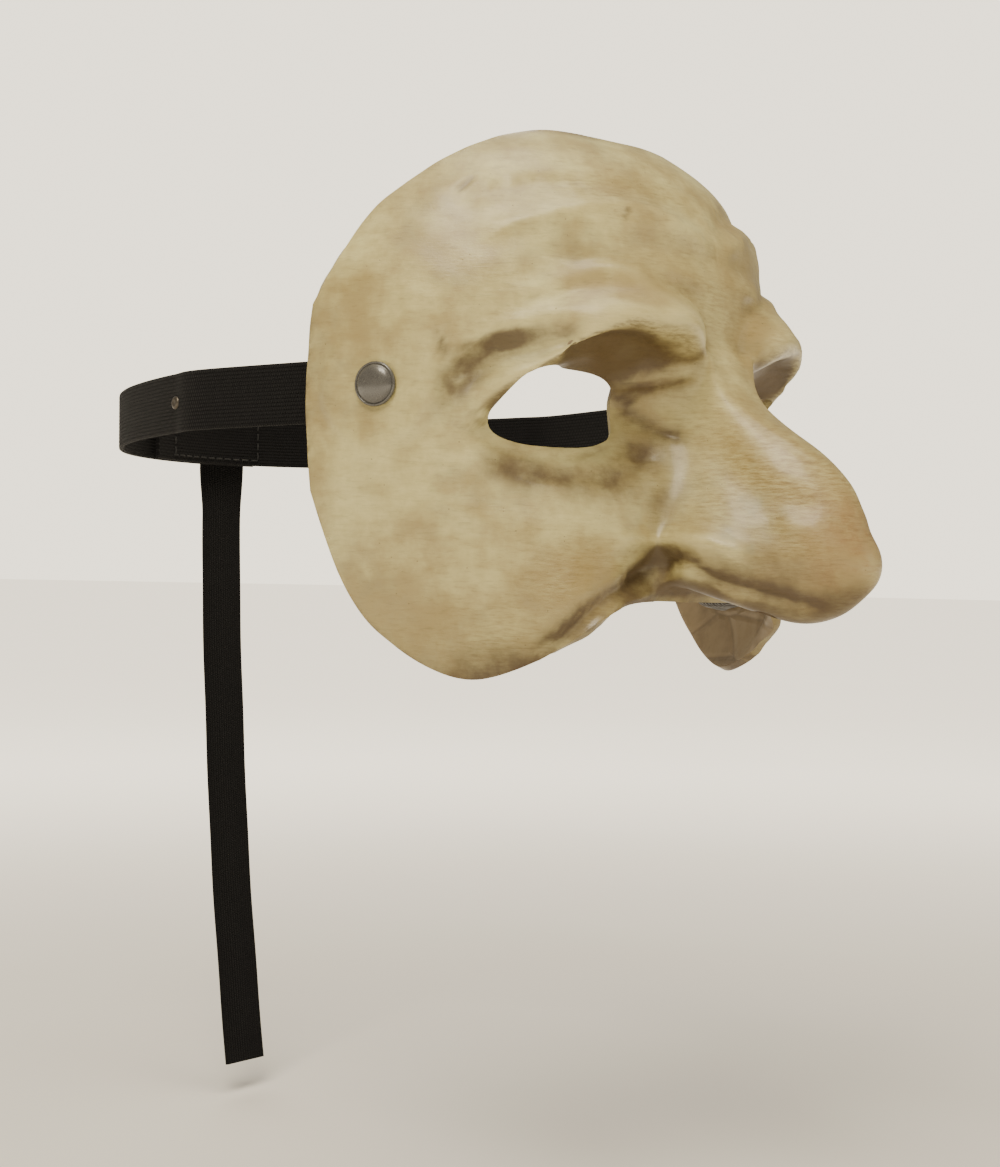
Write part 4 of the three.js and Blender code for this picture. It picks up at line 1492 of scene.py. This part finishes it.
        places = places[kept]
        order = {old: new for new, old in enumerate(kept)}
        loose = [order[v] for v in sorted(near) if v in order]
        for _ in range(self.hole_passes):
            places[loose] = self.settled(shell, places)[loose]
        move_vertices(shell, places * MM)

    @staticmethod
    def settled(shell: bpy.types.Object, places: np.ndarray) -> np.ndarray:
        """Every vertex moved halfway to the mean of its neighbours.

        Args:
            shell: the mesh that says who is next to whom.
            places: all places.

        Returns:
            The new places.
        """
        ends = np.empty(len(shell.data.edges) * 2, int)
        shell.data.edges.foreach_get("vertices", ends)
        ends = ends.reshape(-1, 2)
        total = np.zeros_like(places)
        count = np.zeros(len(places))
        for a, b in ((0, 1), (1, 0)):
            np.add.at(total, ends[:, a], places[ends[:, b]])
            np.add.at(count, ends[:, a], 1)
        mean = total / np.maximum(count, 1)[:, None]
        return (places + mean) / 2

    @staticmethod
    def soften_inside(shell: bpy.types.Object, outer: int) -> None:
        """Smooths the inner wall, which doesn't repeat the outside's fine creases.

        Args:
            shell: the shell with its wall.
            outer: how many vertices belong to the outside.
        """
        places = coordinates(shell)
        ends = np.empty(len(shell.data.edges) * 2, int)
        shell.data.edges.foreach_get("vertices", ends)
        ends = ends.reshape(-1, 2)
        inside = (ends >= outer).all(1)
        ends = ends[inside]
        rim_edges = np.zeros(len(places), bool)
        all_ends = np.empty(len(shell.data.edges) * 2, int)
        shell.data.edges.foreach_get("vertices", all_ends)
        all_ends = all_ends.reshape(-1, 2)
        crossing = all_ends[(all_ends >= outer).any(1) & (all_ends < outer).any(1)]
        rim_edges[crossing.ravel()] = True
        count = np.zeros(len(places))
        for a in (0, 1):
            np.add.at(count, ends[:, a], 1)
        for _ in range(12):
            total = np.zeros_like(places)
            for a, b in ((0, 1), (1, 0)):
                np.add.at(total, ends[:, a], places[ends[:, b]])
            mean = total / np.maximum(count, 1)[:, None]
            free = (np.arange(len(places)) >= outer) & ~rim_edges & (count > 0)
            places[free] = places[free] * 0.5 + mean[free] * 0.5
        move_vertices(shell, places)


# ---- press studs ------------------------------------------------------------------------


@dataclass
class PressStud:
    """One temple press stud: cap, socket and ring spring in the shell, stud and post in the strap.

    Depths run inwards from the shell's outer face, in mm.
    """

    side: Side
    stud_x: float = FaceForm().stud_x
    tilt: float = 16
    droop: float = 1.3
    cap_radius: float = 5.62
    cap_height: float = 2.8
    shank: float = 1.5
    socket_at: float = 2.6
    floor: float = 3.5
    clinch_end: float = 4.1
    ball_at: float = 6.3
    ball_radius: float = 1.9
    socket_end: float = 7.2
    flange_at: float = 8.0
    flange_end: float = 8.9
    post_at: float = 10.9

    @property
    def name(self) -> str:
        """The side's name, as the CAD nodes use it."""
        return self.side.name.lower()

    @property
    def swing_y(self) -> float:
        """Where the strap's swing axis lies, in front of or behind the origin."""
        return self.ball_at * math.sin(math.radians(self.tilt))

    def settle(self, obj: bpy.types.Object, finish: Finish, body: Body, node: str,
               on_strap: bool = False) -> bpy.types.Object:
        """Puts a turned piece in its place at the temple and dresses it.

        Args:
            obj: the piece, turned about Z with its outer end up.
            finish: its finish.
            body: the body it rides on.
            node: the CAD node it stands for.
            on_strap: whether it leans with the worn strap.

        Returns:
            The piece.
        """
        facing = math.radians(-self.tilt)
        if self.side is Side.RIGHT:
            facing = math.pi - facing
        place = (Matrix.Translation((self.side.value * self.stud_x * MM, 0, 0))
                 @ Matrix.Rotation(facing, 4, "Z") @ Matrix.Rotation(math.pi / 2, 4, "Y"))
        if on_strap:
            place = worn_lean(self.swing_y, self.droop) @ place
        obj.data.transform(place)
        finish.put_on(obj)
        shade_smooth(obj, 35)
        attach(obj, body.value)
        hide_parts(node)
        return obj

    def build(self) -> list[bpy.types.Object]:
        """Makes the five pieces.

        Returns:
            Cap, socket, ring spring, ball stud and post.
        """
        band = Body.LEFT_BAND if self.side is Side.LEFT else Body.RIGHT_BAND
        return [
            self.settle(self.cap(), ENAMEL, Body.SHELL, f"{self.name}_stud_cap"),
            self.settle(self.socket(), STEEL, Body.SHELL,
                        f"{self.name}_stud_socket"),
            self.settle(self.ring(), STEEL, Body.SHELL, f"{self.name}_ring_spring"),
            self.settle(self.ball(), STEEL, band, f"{self.name}_ball_stud", True),
            self.settle(self.post(), STEEL, band, f"{self.name}_stud_post", True),
        ]

    def cap(self) -> bpy.types.Object:
        """Domed cap with a rolled rim and a groove inside it, and a clinched shank."""
        radius, height = self.cap_radius, self.cap_height
        dome = [(radius * 0.84 * math.sin(a), height * (0.42 + 0.58 * math.cos(a)))
                for a in np.linspace(0.0, 1.3, 12)]
        rolled = [(radius * 0.93 + 0.07 * radius * math.sin(a), 0.75 + 0.62 * math.cos(a))
                  for a in np.linspace(-0.9, math.pi, 12)]
        shank = [(self.shank, 0.15), (self.shank, -self.floor - 0.2),
                 (self.shank + 0.7, -self.floor - 0.2), (self.shank + 0.5, -self.clinch_end + 0.1),
                 (self.shank, -self.clinch_end), (0.3, -self.clinch_end + 0.25), (0, -self.clinch_end + 0.3)]
        return turned(f"{self.name}_cap", [*dome, *rolled, *shank], 72)

    def socket(self) -> bpy.types.Object:
        """Socket cup with a rolled lip and a stepped base."""
        bore, inner, outer = self.shank + 0.2, 3.3, 5.0
        start, floor, end = -self.socket_at, -self.floor, -self.socket_end
        ring = [(bore, start), (outer - 0.35, start), (outer, start - 0.3), (outer, start - 0.8),
                (outer - 0.35, start - 1.1), (outer - 0.45, end + 1.1), (outer - 0.1, end + 0.8),
                (outer, end + 0.45), (outer - 0.25, end + 0.05), (outer - 0.8, end),
                (inner + 0.2, end + 0.1), (inner, end + 0.4), (inner, floor), (bore, floor),
                (bore, start)]
        return turned(f"{self.name}_socket", ring, 56)

    def ring(self) -> bpy.types.Object:
        """Split wire ring that grips the ball."""
        depth = self.ball_at + 0.4
        bpy.ops.mesh.primitive_torus_add(major_radius=2.5 * MM, minor_radius=0.28 * MM,
                                         major_segments=48, minor_segments=12,
                                         location=(0, 0, 0))
        made = new_active(f"{self.name}_spring")
        made.data.transform(Matrix.Translation((0, 0, -depth * MM)))
        return made

    def ball(self) -> bpy.types.Object:
        """Ball, neck and stamped flange of the stud."""
        radius = self.ball_radius
        top = -(self.ball_at - radius)
        dome = [(radius * math.sin(a), top - radius * (1 - math.cos(a)))
                for a in np.linspace(0, 2.2, 14)]
        neck = radius * 0.72
        start, end = -self.flange_at, -self.flange_end
        return turned(f"{self.name}_ball", [*dome, (neck, start + 0.25), (neck + 0.25, start), (3.6, start),
                                            (4.0, start - 0.15), (4.6, start - 0.1), (4.9, start - 0.3),
                                            (5.0, start - 0.5), (4.9, end), (0, end)], 56)

    def post(self) -> bpy.types.Object:
        """Post with a broad flat head on the skin side of the strap."""
        start, shank = -(self.flange_end + 0.2), self.shank - 0.2
        head = -self.post_at
        return turned(f"{self.name}_post", [(0, start), (shank, start), (shank, head), (4.7, head),
                                            (5.0, head - 0.2), (5.0, head - 0.45),
                                            (4.7, head - 0.7), (3.2, head - 0.85),
                                            (2.8, head - 0.7), (0, head - 0.7)], 56)


def worn_lean(swing_y: float, degrees: float) -> Matrix:
    """How the worn strap drops towards the back, as a turn about its swing axis.

    Args:
        swing_y: place of the axis along Y, in mm.
        degrees: the drop.

    Returns:
        The turn.
    """
    axis = Matrix.Translation((0, swing_y * MM, 0))
    return axis @ Matrix.Rotation(-math.radians(degrees), 4, "X") @ axis.inverted()


# ---- strap --------------------------------------------------------------------------------


@dataclass
class Webbing:
    """A flat woven band along a path, with rounded selvedges and ribs."""

    name: str
    path: np.ndarray
    width: float
    thick: float
    ribs: int = 14
    rib_depth: float = 0.06
    slack: float = 0.0
    across: np.ndarray | None = None

    def build(self) -> bpy.types.Object:
        """Bends a grid round the path and closes it.

        The path runs along the band's middle in mm, with the width upright. The UV map runs in
        metres, length first.

        Returns:
            The band, closed at both ends.
        """
        path = self.path
        steps = len(path) - 1
        tangent = np.gradient(path, axis=0)
        tangent /= np.linalg.norm(tangent, axis=1)[:, None]
        upright = self.upright(tangent) if self.across is None else self.across
        outward = np.cross(tangent, upright)
        outward /= np.linalg.norm(outward, axis=1)[:, None]
        section = self.section()
        bpy.ops.object.select_all(action="DESELECT")
        bpy.ops.mesh.primitive_grid_add(x_subdivisions=steps, y_subdivisions=len(section),
                                        size=2, location=(0, 0, 0))
        band = new_active(self.name)
        seed = coordinates(band)
        i = np.rint((seed[:, 0] + 1) / 2 * steps).astype(int)
        j = np.rint((seed[:, 1] + 1) / 2 * len(section)).astype(int) % len(section)
        along = np.concatenate([[0], np.cumsum(np.linalg.norm(np.diff(path, axis=0), axis=1))])
        sway = self.slack * np.sin(along / 9.0) * np.sin(along / 23.0 + 0.7)
        places = (path[i] + outward[i] * (section[j, 1] + sway[i])[:, None]
                  + upright[i] * section[j, 0][:, None])
        uv = np.stack([along[i], section[j, 0] + self.width], axis=1) * MM
        move_vertices(band, places * MM)
        corner = np.empty(len(band.data.loops), int)
        band.data.loops.foreach_get("vertex_index", corner)
        band.data.uv_layers.active.data.foreach_set("uv", uv[corner].ravel())
        only(band)
        bpy.ops.object.mode_set(mode="EDIT")
        bpy.ops.mesh.select_all(action="SELECT")
        bpy.ops.mesh.remove_doubles(threshold=1e-6)
        bpy.ops.mesh.select_all(action="DESELECT")
        bpy.ops.mesh.select_mode(type="EDGE")
        bpy.ops.mesh.select_non_manifold()
        bpy.ops.mesh.edge_face_add()
        bpy.ops.mesh.select_all(action="SELECT")
        bpy.ops.mesh.normals_make_consistent(inside=False)
        bpy.ops.object.mode_set(mode="OBJECT")
        self.fix_ends(band)
        ELASTIC.put_on(band)
        shade_smooth(band, 60)
        return band

    @staticmethod
    def upright(tangent: np.ndarray) -> np.ndarray:
        """Direction of the band's width along its path."""
        if abs(tangent[0, 2]) > 0.6:
            return np.tile([1.0, 0.0, 0.0], (len(tangent), 1))
        return np.tile([0.0, 0.0, 1.0], (len(tangent), 1))

    @staticmethod
    def fix_ends(band: bpy.types.Object) -> None:
        """Splits the two end faces into triangles, so they stay flat."""
        only(band)
        bpy.ops.object.mode_set(mode="EDIT")
        bpy.ops.mesh.select_mode(type="FACE")
        bpy.ops.mesh.select_all(action="DESELECT")
        bpy.ops.mesh.select_face_by_sides(number=4, type="GREATER")
        bpy.ops.mesh.quads_convert_to_tris()
        bpy.ops.object.mode_set(mode="OBJECT")

    def section(self) -> np.ndarray:
        """Closed outline of the band, as (across, out) in mm."""
        half, lift = self.width / 2, self.thick / 2
        across = np.linspace(-half + lift * 0.8, half - lift * 0.8, self.ribs * 4 + 1)
        wave = self.rib_depth * np.abs(np.sin(np.linspace(0, math.pi * self.ribs, len(across))))
        face = lift - self.rib_depth + wave
        turn = np.linspace(math.pi / 2, -math.pi / 2, 7)[1:-1]
        bead = np.stack([half - lift * 0.8 + np.cos(turn) * lift * 0.8, np.sin(turn) * lift], axis=1)
        outer = np.stack([across, face], axis=1)
        inner = np.stack([across[::-1], -face[::-1]], axis=1)
        return np.vstack([outer, bead, inner, -bead])


def stitches(name: str, places: Sequence[tuple[Vector, Vector, Vector]], length: float = 2.3,
             girth: float = 0.26) -> bpy.types.Object:
    """A row of thread stitches, one short bowed thread copied along a line.

    Args:
        name: name of the row.
        places: (middle, direction along the thread, direction out of the cloth), in mm.
        length: length of a stitch in mm.
        girth: radius of the thread in mm.

    Returns:
        The stitches as one piece.
    """
    bpy.ops.object.select_all(action="DESELECT")
    bpy.ops.mesh.primitive_cylinder_add(vertices=6, radius=girth * MM, depth=length * MM,
                                        location=(0, 0, 0), rotation=(0, 0, 0))
    single = new_active(name)
    only(single)
    bpy.ops.object.mode_set(mode="EDIT")
    bpy.ops.mesh.select_all(action="SELECT")
    bpy.ops.mesh.bisect(plane_co=(0, 0, 0), plane_no=(0, 0, 1))
    bpy.ops.object.mode_set(mode="OBJECT")
    seed = coordinates(single) / MM
    seed[:, 0] += 0.22 * (1 - (2 * seed[:, 2] / length) ** 2)
    work = bmesh.new()
    for middle, along, out in places:
        z_axis, x_axis = along.normalized(), out.normalized()
        y_axis = z_axis.cross(x_axis)
        turn = Matrix((x_axis, y_axis, z_axis)).transposed()
        copy = bmesh.new()
        copy.from_mesh(single.data)
        for vertex, place in zip(copy.verts, seed):
            vertex.co = (middle + turn @ Vector(place)) * MM
        temporary = bpy.data.meshes.new("thread")
        copy.to_mesh(temporary)
        copy.free()
        work.from_mesh(temporary)
        bpy.data.meshes.remove(temporary)
    work.to_mesh(single.data)
    work.free()
    THREAD.put_on(single)
    return single


@dataclass
class HeadStrap:
    """The worn elastic strap: two bands that lap at the back, their tapes, tab and tail."""

    stud: PressStud = field(default_factory=lambda: PressStud(Side.LEFT))
    width: float = 16.2
    thick: float = 1.4
    stitch_lift: float = 0.2
    half_width: float = 76
    half_length: float = 101.5
    centre_y: float = 46
    lap: float = 22
    patch_from: float = -14
    loop_thick: float = 0.9
    hook_thick: float = 0.7
    layer_gap: float = 0.2
    tail_x: float = 12.5
    tail_length: float = 194
    tail_lean: float = 17
    tail_gap: float = 0.9
    rivet_angle: float = 15
    rivet_radius: float = 1.8

    def __post_init__(self) -> None:
        """Works out how far each layer lies from the head."""
        gap, thick = self.layer_gap, self.thick
        self.left_offset = thick / 2
        self.loop_offset = thick + gap + self.loop_thick / 2
        self.hook_offset = self.loop_offset + (self.loop_thick + self.hook_thick) / 2 + gap
        self.right_offset = self.hook_offset + (self.hook_thick + thick) / 2 + gap
        self.tab_offset = self.right_offset + thick + gap
        self.lean = worn_lean(self.stud.swing_y, self.stud.droop)

    def loop_point(self, angle: np.ndarray | float, offset: np.ndarray | float) -> np.ndarray:
        """Point on the worn loop.

        Args:
            angle: degrees from straight sideways to straight back.
            offset: distance out from the head, in mm.

        Returns:
            X and Y in mm, on the last axis.
        """
        turn = np.radians(angle)
        return np.stack([(self.half_width + offset) * np.cos(turn),
                         self.centre_y + (self.half_length + offset) * np.sin(turn)], axis=-1)

    def lap_angle(self, x: float, offset: float) -> float:
        """Angle on the loop at a distance from the middle of the back."""
        return 90 - math.degrees(math.asin(x / (self.half_width + offset)))

    def stud_point(self, depth: float, back: float) -> np.ndarray:
        """Point at a depth in from the shell and a distance back from the stud."""
        tilt = math.radians(self.stud.tilt)
        return np.array([self.stud.stud_x - depth * math.cos(tilt) + back * math.sin(tilt),
                         depth * math.sin(tilt) + back * math.cos(tilt)])

    def band_path(self, back_offset: float) -> np.ndarray:
        """Middle line of a band from its press stud to the lap, on the left side.

        Args:
            back_offset: how far out it lies at the back, in mm.

        Returns:
            Points in mm.
        """
        depth = self.stud.flange_end + self.layer_gap + self.thick / 2
        guide = [self.stud_point(depth, back) for back in (-8, 0, 9, 18)]
        last = self.lap_angle(-self.lap, back_offset)
        for angle in np.linspace(8, last, 13):
            offset = self.left_offset + (back_offset - self.left_offset) * ease(angle, 20, 70)
            guide.append(self.loop_point(angle, offset))
        path = rounded_path(np.array(guide), 220)
        return np.column_stack([path, np.zeros(len(path))])

    def arc_path(self, from_x: float, to_x: float, offset: float, count: int) -> np.ndarray:
        """Middle line of a piece that lies on the back of the loop."""
        angles = np.linspace(self.lap_angle(from_x, offset), self.lap_angle(to_x, offset), count)
        path = self.loop_point(angles, offset)
        return np.column_stack([path, np.zeros(count)])

    def finish(self, obj: bpy.types.Object, body: Body, slot: str,
               node: str = "") -> bpy.types.Object:
        """Leans a piece with the worn strap and says what it belongs to.

        Args:
            obj: the piece.
            body: the body it rides on.
            slot: not used.
            node: the CAD node it stands for, if any.

        Returns:
            The piece.
        """
        obj.data.transform(self.lean)
        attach(obj, body.value)
        if node:
            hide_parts(node)
        return obj

    def build(self) -> list[bpy.types.Object]:
        """Makes every piece of the strap.

        Returns:
            The pieces.
        """
        left = Webbing("left_elastic_band", self.band_path(self.left_offset), self.width,
                       self.thick, slack=0.1).build()
        mirror = np.array([-1, 1, 1])
        right = Webbing("right_elastic_band", self.band_path(self.right_offset) * mirror,
                        self.width, self.thick, slack=0.1).build()
        inner = self.tape("loop_tape_patch", self.loop_offset, self.loop_thick, LOOPS)
        outer = self.tape("hook_tape_patch", self.hook_offset, self.hook_thick, HOOKS)
        return [
            self.finish(left, Body.LEFT_BAND, "elastic", "left_strap"),
            self.finish(right, Body.RIGHT_BAND, "elastic", "right_strap"),
            self.finish(inner, Body.LEFT_BAND, "hook_tape", "loop_patch"),
            self.finish(outer, Body.RIGHT_BAND, "hook_tape", "hook_patch"),
            self.finish(self.size_rivet(), Body.RIGHT_BAND, "stud_steel", "size_rivet"),
            self.finish(self.tab_stitching(), Body.RIGHT_BAND, "elastic"),
            self.finish(self.band_stitching(1, self.left_offset, "left"), Body.LEFT_BAND,
                        "elastic"),
            self.finish(self.band_stitching(-1, self.right_offset, "right"), Body.RIGHT_BAND,
                        "elastic"),
            self.tail(),
        ]

    def tape(self, name: str, offset: float, thick: float, finish: Finish) -> bpy.types.Object:
        """One closing tape, sewn flat to its band.

        Args:
            name: name of the piece.
            offset: how far out it lies.
            thick: its thickness.
            finish: hooks or loops.

        Returns:
            The tape.
        """
        path = self.arc_path(self.patch_from, self.lap, offset, 40)
        made = Webbing(name, path, self.width - 1.2, thick, 24, 0.04).build()
        finish.put_on(made)
        return made

    def size_rivet(self) -> bpy.types.Object:
        """Small rivet through the right band, with a domed head and a dimple."""
        reach = self.thick / 2 + 2 * self.layer_gap
        radius = self.rivet_radius
        profile = [(0, reach + 0.5), (radius * 0.3, reach + 0.55), (radius * 0.5, reach + 0.62),
                   (radius * 0.75, reach + 0.55), (radius * 0.95, reach + 0.3), (radius, reach + 0.1),
                   (radius * 0.96, reach), (radius / 2, reach), (radius / 2, -reach),
                   (radius * 0.96, -reach), (radius * 0.9, -reach - 0.3), (radius * 0.4, -reach - 0.35),
                   (0, -reach - 0.25)]
        rivet = turned("strap_size_rivet", profile, 40)
        at = self.loop_point(self.rivet_angle, self.left_offset)
        turn = math.radians(self.rivet_angle)
        facing = math.atan2(math.sin(turn) / (self.half_length + self.left_offset),
                            math.cos(turn) / (self.half_width + self.left_offset))
        rivet.data.transform(Matrix.Translation((-at[0] * MM, at[1] * MM, 0))
                             @ Matrix.Rotation(math.pi - facing, 4, "Z")
                             @ Matrix.Rotation(math.pi / 2, 4, "Y"))
        DULL_RIVET.put_on(rivet)
        shade_smooth(rivet, 35)
        return rivet

    def on_back(self, x: float, height: float, offset: float) -> tuple[Vector, Vector, Vector]:
        """Place, sideways direction and outward direction at the back of the loop."""
        at = self.loop_point(self.lap_angle(x, offset), offset)
        near = self.loop_point(self.lap_angle(x + 0.5, offset), offset)
        along = Vector((*(near - at), 0)).normalized()
        return Vector((*at, height)), along, Vector((-along.y, along.x, 0))

    def tab_stitching(self) -> bpy.types.Object:
        """Box stitch with a cross that sews the tab to the right band."""
        surface = self.tab_offset + self.thick / 2 + self.stitch_lift
        low, high = self.tail_x - 5.4, self.tail_x + 5.4
        places = []
        for share in np.linspace(0, 1, 5):
            x = low + (high - low) * share
            for height in (-5.4, 5.4):
                at, along, out = self.on_back(x, height, surface)
                places.append((at, along, out))
            z = -5.4 + 10.8 * share
            for x_edge in (low, high):
                at, along, out = self.on_back(x_edge, z, surface)
                places.append((at, Vector((0, 0, 1)), out))
            if 0 < share < 1:
                for sign in (1, -1):
                    at, along, out = self.on_back(x, z * sign, surface)
                    places.append((at, along * 0.7 + Vector((0, 0, 0.7 * sign)), out))
        return stitches("tab_box_stitch", places)

    def band_stitching(self, sign: int, offset: float, name: str) -> bpy.types.Object:
        """Stitches that sew a closing tape to its band, on the band's far face.

        Args:
            sign: 1 where the free face is the inner one, and -1 where it is the outer one.
            offset: where the band lies.
            name: the band's name.

        Returns:
            The stitches.
        """
        surface = offset - sign * self.thick / 2
        places = []
        for x in np.arange(self.patch_from + 1.5, self.lap - 1, 3.2):
            for height in (-6.3, 6.3):
                at, along, out = self.on_back(float(x), height, surface)
                places.append((at, along, out * -sign))
        for height in np.arange(-4.8, 4.9, 3.2):
            for x in (self.patch_from + 1.2, self.lap - 1.4):
                at, along, out = self.on_back(float(x), float(height), surface)
                places.append((at, Vector((0, 0, 1)), out * -sign))
        return stitches(f"{name}_tape_stitching", places)

    def tail(self) -> bpy.types.Object:
        """The spare end, sewn flat to the lap and hanging from it down behind the neck."""
        reach = math.sqrt(1 - (self.tail_x / self.half_width) ** 2)
        top_y = self.centre_y + reach * (self.half_length + self.tab_offset)
        drop = (top_y - self.stud.swing_y) * math.sin(math.radians(self.stud.droop))
        top = -self.width / 2 - self.tail_gap - drop
        sewn = self.width + self.tail_gap
        down = np.linspace(-sewn, self.tail_length, 190)
        share = np.maximum(down, 0) / self.tail_length
        held = 1 - ease(down, -self.tail_gap, 16)
        path = np.column_stack([np.full(len(down), self.tail_x),
                                top_y - self.tail_lean * share**1.8 + 0.45 * held, top - down])
        _, along, _ = self.on_back(self.tail_x, 0, self.tab_offset)
        slant = math.atan2(along.y, along.x) * held
        across = np.column_stack([np.cos(slant), np.sin(slant), np.zeros(len(down))])
        tail = Webbing("sewn_on_hanging_tail", path, self.width, self.thick, slack=0.2,
                       across=-across if along.x < 0 else across).build()
        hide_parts("strap_tail", "tail_tab")
        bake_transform(tail)
        return tail


# ---- pads ---------------------------------------------------------------------------------


@dataclass
class Pads:
    """Soft pads glued inside the shell, at the brow and at each cheek."""

    voxel: float = 1.5

    def build(self) -> list[bpy.types.Object]:
        """Makes the three pads.

        Returns:
            The pads.
        """
        return [self.pad(node) for node in ("brow_pad", "left_cheek_pad", "right_cheek_pad")]

    def pad(self, node: str) -> bpy.types.Object:
        """Turns a CAD pad into a rounded, slightly crowned one.

        Args:
            node: the CAD node.

        Returns:
            The pad.
        """
        source = frame["nodes"][node]
        pad = bpy.data.objects.new(f"soft_{node}", source.data.copy())
        bpy.context.scene.collection.objects.link(pad)
        only(pad)
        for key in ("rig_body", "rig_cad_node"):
            if key in pad:
                del pad[key]
        bpy.ops.object.mode_set(mode="EDIT")
        bpy.ops.mesh.select_all(action="SELECT")
        bpy.ops.mesh.remove_doubles(threshold=1e-6)
        bpy.ops.mesh.normals_make_consistent(inside=False)
        bpy.ops.object.mode_set(mode="OBJECT")
        apply_modifier(pad, "REMESH", mode="VOXEL", voxel_size=self.voxel * MM)
        apply_modifier(pad, "SMOOTH", factor=0.5, iterations=14)
        self.inflate(pad)
        apply_modifier(pad, "SUBSURF", levels=1, render_levels=1)
        JERSEY.put_on(pad)
        shade_smooth(pad, 80)
        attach(pad, Body.SHELL.value)
        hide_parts(node)
        return pad

    def inflate(self, pad: bpy.types.Object) -> None:
        """Fills the pad under its cover by a short cloth simulation.

        Args:
            pad: the pad to fill.
        """
        only(pad)
        before = coordinates(pad)
        cloth = pad.modifiers.new("Fill", "CLOTH")
        cloth.settings.use_pressure = True
        cloth.settings.uniform_pressure_force = 3.0
        cloth.settings.effector_weights.gravity = 0
        scene = bpy.context.scene
        for step in range(1, 11):
            scene.frame_set(step)
        bpy.ops.object.modifier_apply(modifier=cloth.name)
        after = coordinates(pad)
        move = after - before
        length = np.linalg.norm(move, axis=1)[:, None]
        most = 0.7 * MM
        move_vertices(pad, before + move * np.minimum(1, most / np.maximum(length, 1e-9)))
        scene.frame_set(1)


# ---- room, light and camera ---------------------------------------------------------------


@dataclass
class Studio:
    """Pale floor, soft lights and the camera."""

    floor_height: float = -216
    distance: float = 540
    aim: tuple[float, float, float] = (0, 19.7, -48.7)
    azimuth: float = -50
    roll: float = 1.2
    lens: float = 58.8
    ambient: float = 0.42
    backdrop: float = 2.9

    def build(self) -> None:
        """Sets up floor, lights, sky and camera."""
        self.floor()
        self.sky()
        self.lamp("key_light", -66, 52, 1250, 14.0, 560, (255, 244, 222))
        self.lamp("fill_light", 20, 24, 1500, 2.5, 900, (250, 246, 238))
        self.lamp("top_light", -30, 84, 1300, 7.5, 700, (255, 247, 230))
        self.lamp("back_light", 150, 40, 1500, 6.0, 900, (250, 246, 238))
        self.camera()

    def floor(self) -> None:
        """Pale floor just under the hanging tail."""
        bpy.ops.object.select_all(action="DESELECT")
        bpy.ops.mesh.primitive_plane_add(size=90, location=(0, 0, self.floor_height * MM))
        floor = new_active("pale_floor")
        Plaster().put_on(floor)

    def sky(self) -> None:
        """Even pale surroundings, brighter to the eye than they light the mask."""
        world = bpy.data.worlds.new("studio")
        bpy.context.scene.world = world
        world.use_nodes = True
        graph = Graph(world.node_tree)
        background = world.node_tree.nodes["Background"]
        background.inputs["Color"].default_value = linear(234, 224, 203)
        seen = graph.node("LightPath").outputs["Is Camera Ray"]
        graph.link(graph.remap(seen, 0, 1, self.ambient, self.backdrop),
                   background.inputs["Strength"])

    @staticmethod
    def heading(azimuth: float, elevation: float) -> Vector:
        """Direction from the mask to a place round it, azimuth 0 in front."""
        a, e = math.radians(azimuth), math.radians(elevation)
        return Vector((math.sin(a) * math.cos(e), -math.cos(a) * math.cos(e), math.sin(e)))

    def lamp(self, name: str, azimuth: float, elevation: float, distance: float, watts: float,
             size: float, tint: Colour) -> None:
        """Adds a soft square light.

        Args:
            name: its name.
            azimuth: where it stands round the mask, in degrees.
            elevation: how high, in degrees.
            distance: how far, in mm.
            watts: its power.
            size: its side in mm.
            tint: its display colour.
        """
        light = bpy.data.lights.new(name, "AREA")
        light.energy = watts
        light.size = size * MM
        light.color = linear(*tint)[:3]
        lamp = bpy.data.objects.new(name, light)
        bpy.context.scene.collection.objects.link(lamp)
        back = self.heading(azimuth, elevation)
        lamp.location = Vector(self.aim) * MM + back * distance * MM
        lamp.rotation_euler = (-back).to_track_quat("-Z", "Y").to_euler()

    def camera(self) -> None:
        """The camera, level but for a slight roll."""
        back = self.heading(self.azimuth, 0)
        side = Vector((0, 0, 1)).cross(back).normalized()
        up = back.cross(side)
        roll = math.radians(self.roll)
        right = side * math.cos(roll) + up * math.sin(roll)
        top = up * math.cos(roll) - side * math.sin(roll)
        data = bpy.data.cameras.new("camera")
        data.lens = self.lens
        data.sensor_width = 36
        data.clip_start = 0.01
        camera = bpy.data.objects.new("camera", data)
        bpy.context.scene.collection.objects.link(camera)
        turn = Matrix((right, top, back)).transposed()
        place = Vector(self.aim) * MM + back * self.distance * MM
        camera.matrix_world = Matrix.Translation(place) @ turn.to_4x4()
        bpy.context.scene.camera = camera


def main() -> None:
    """Builds the mask piece by piece and reports each."""
    pieces = [MaskShell().build()]
    for side in Side:
        pieces.extend(PressStud(side).build())
    pieces.extend(HeadStrap().build())
    pieces.extend(Pads().build())
    for piece in pieces:
        LOG.info("%s: %d faces", piece.name, len(piece.data.polygons))
    Studio().build()


if __name__ == "__main__":
    main()
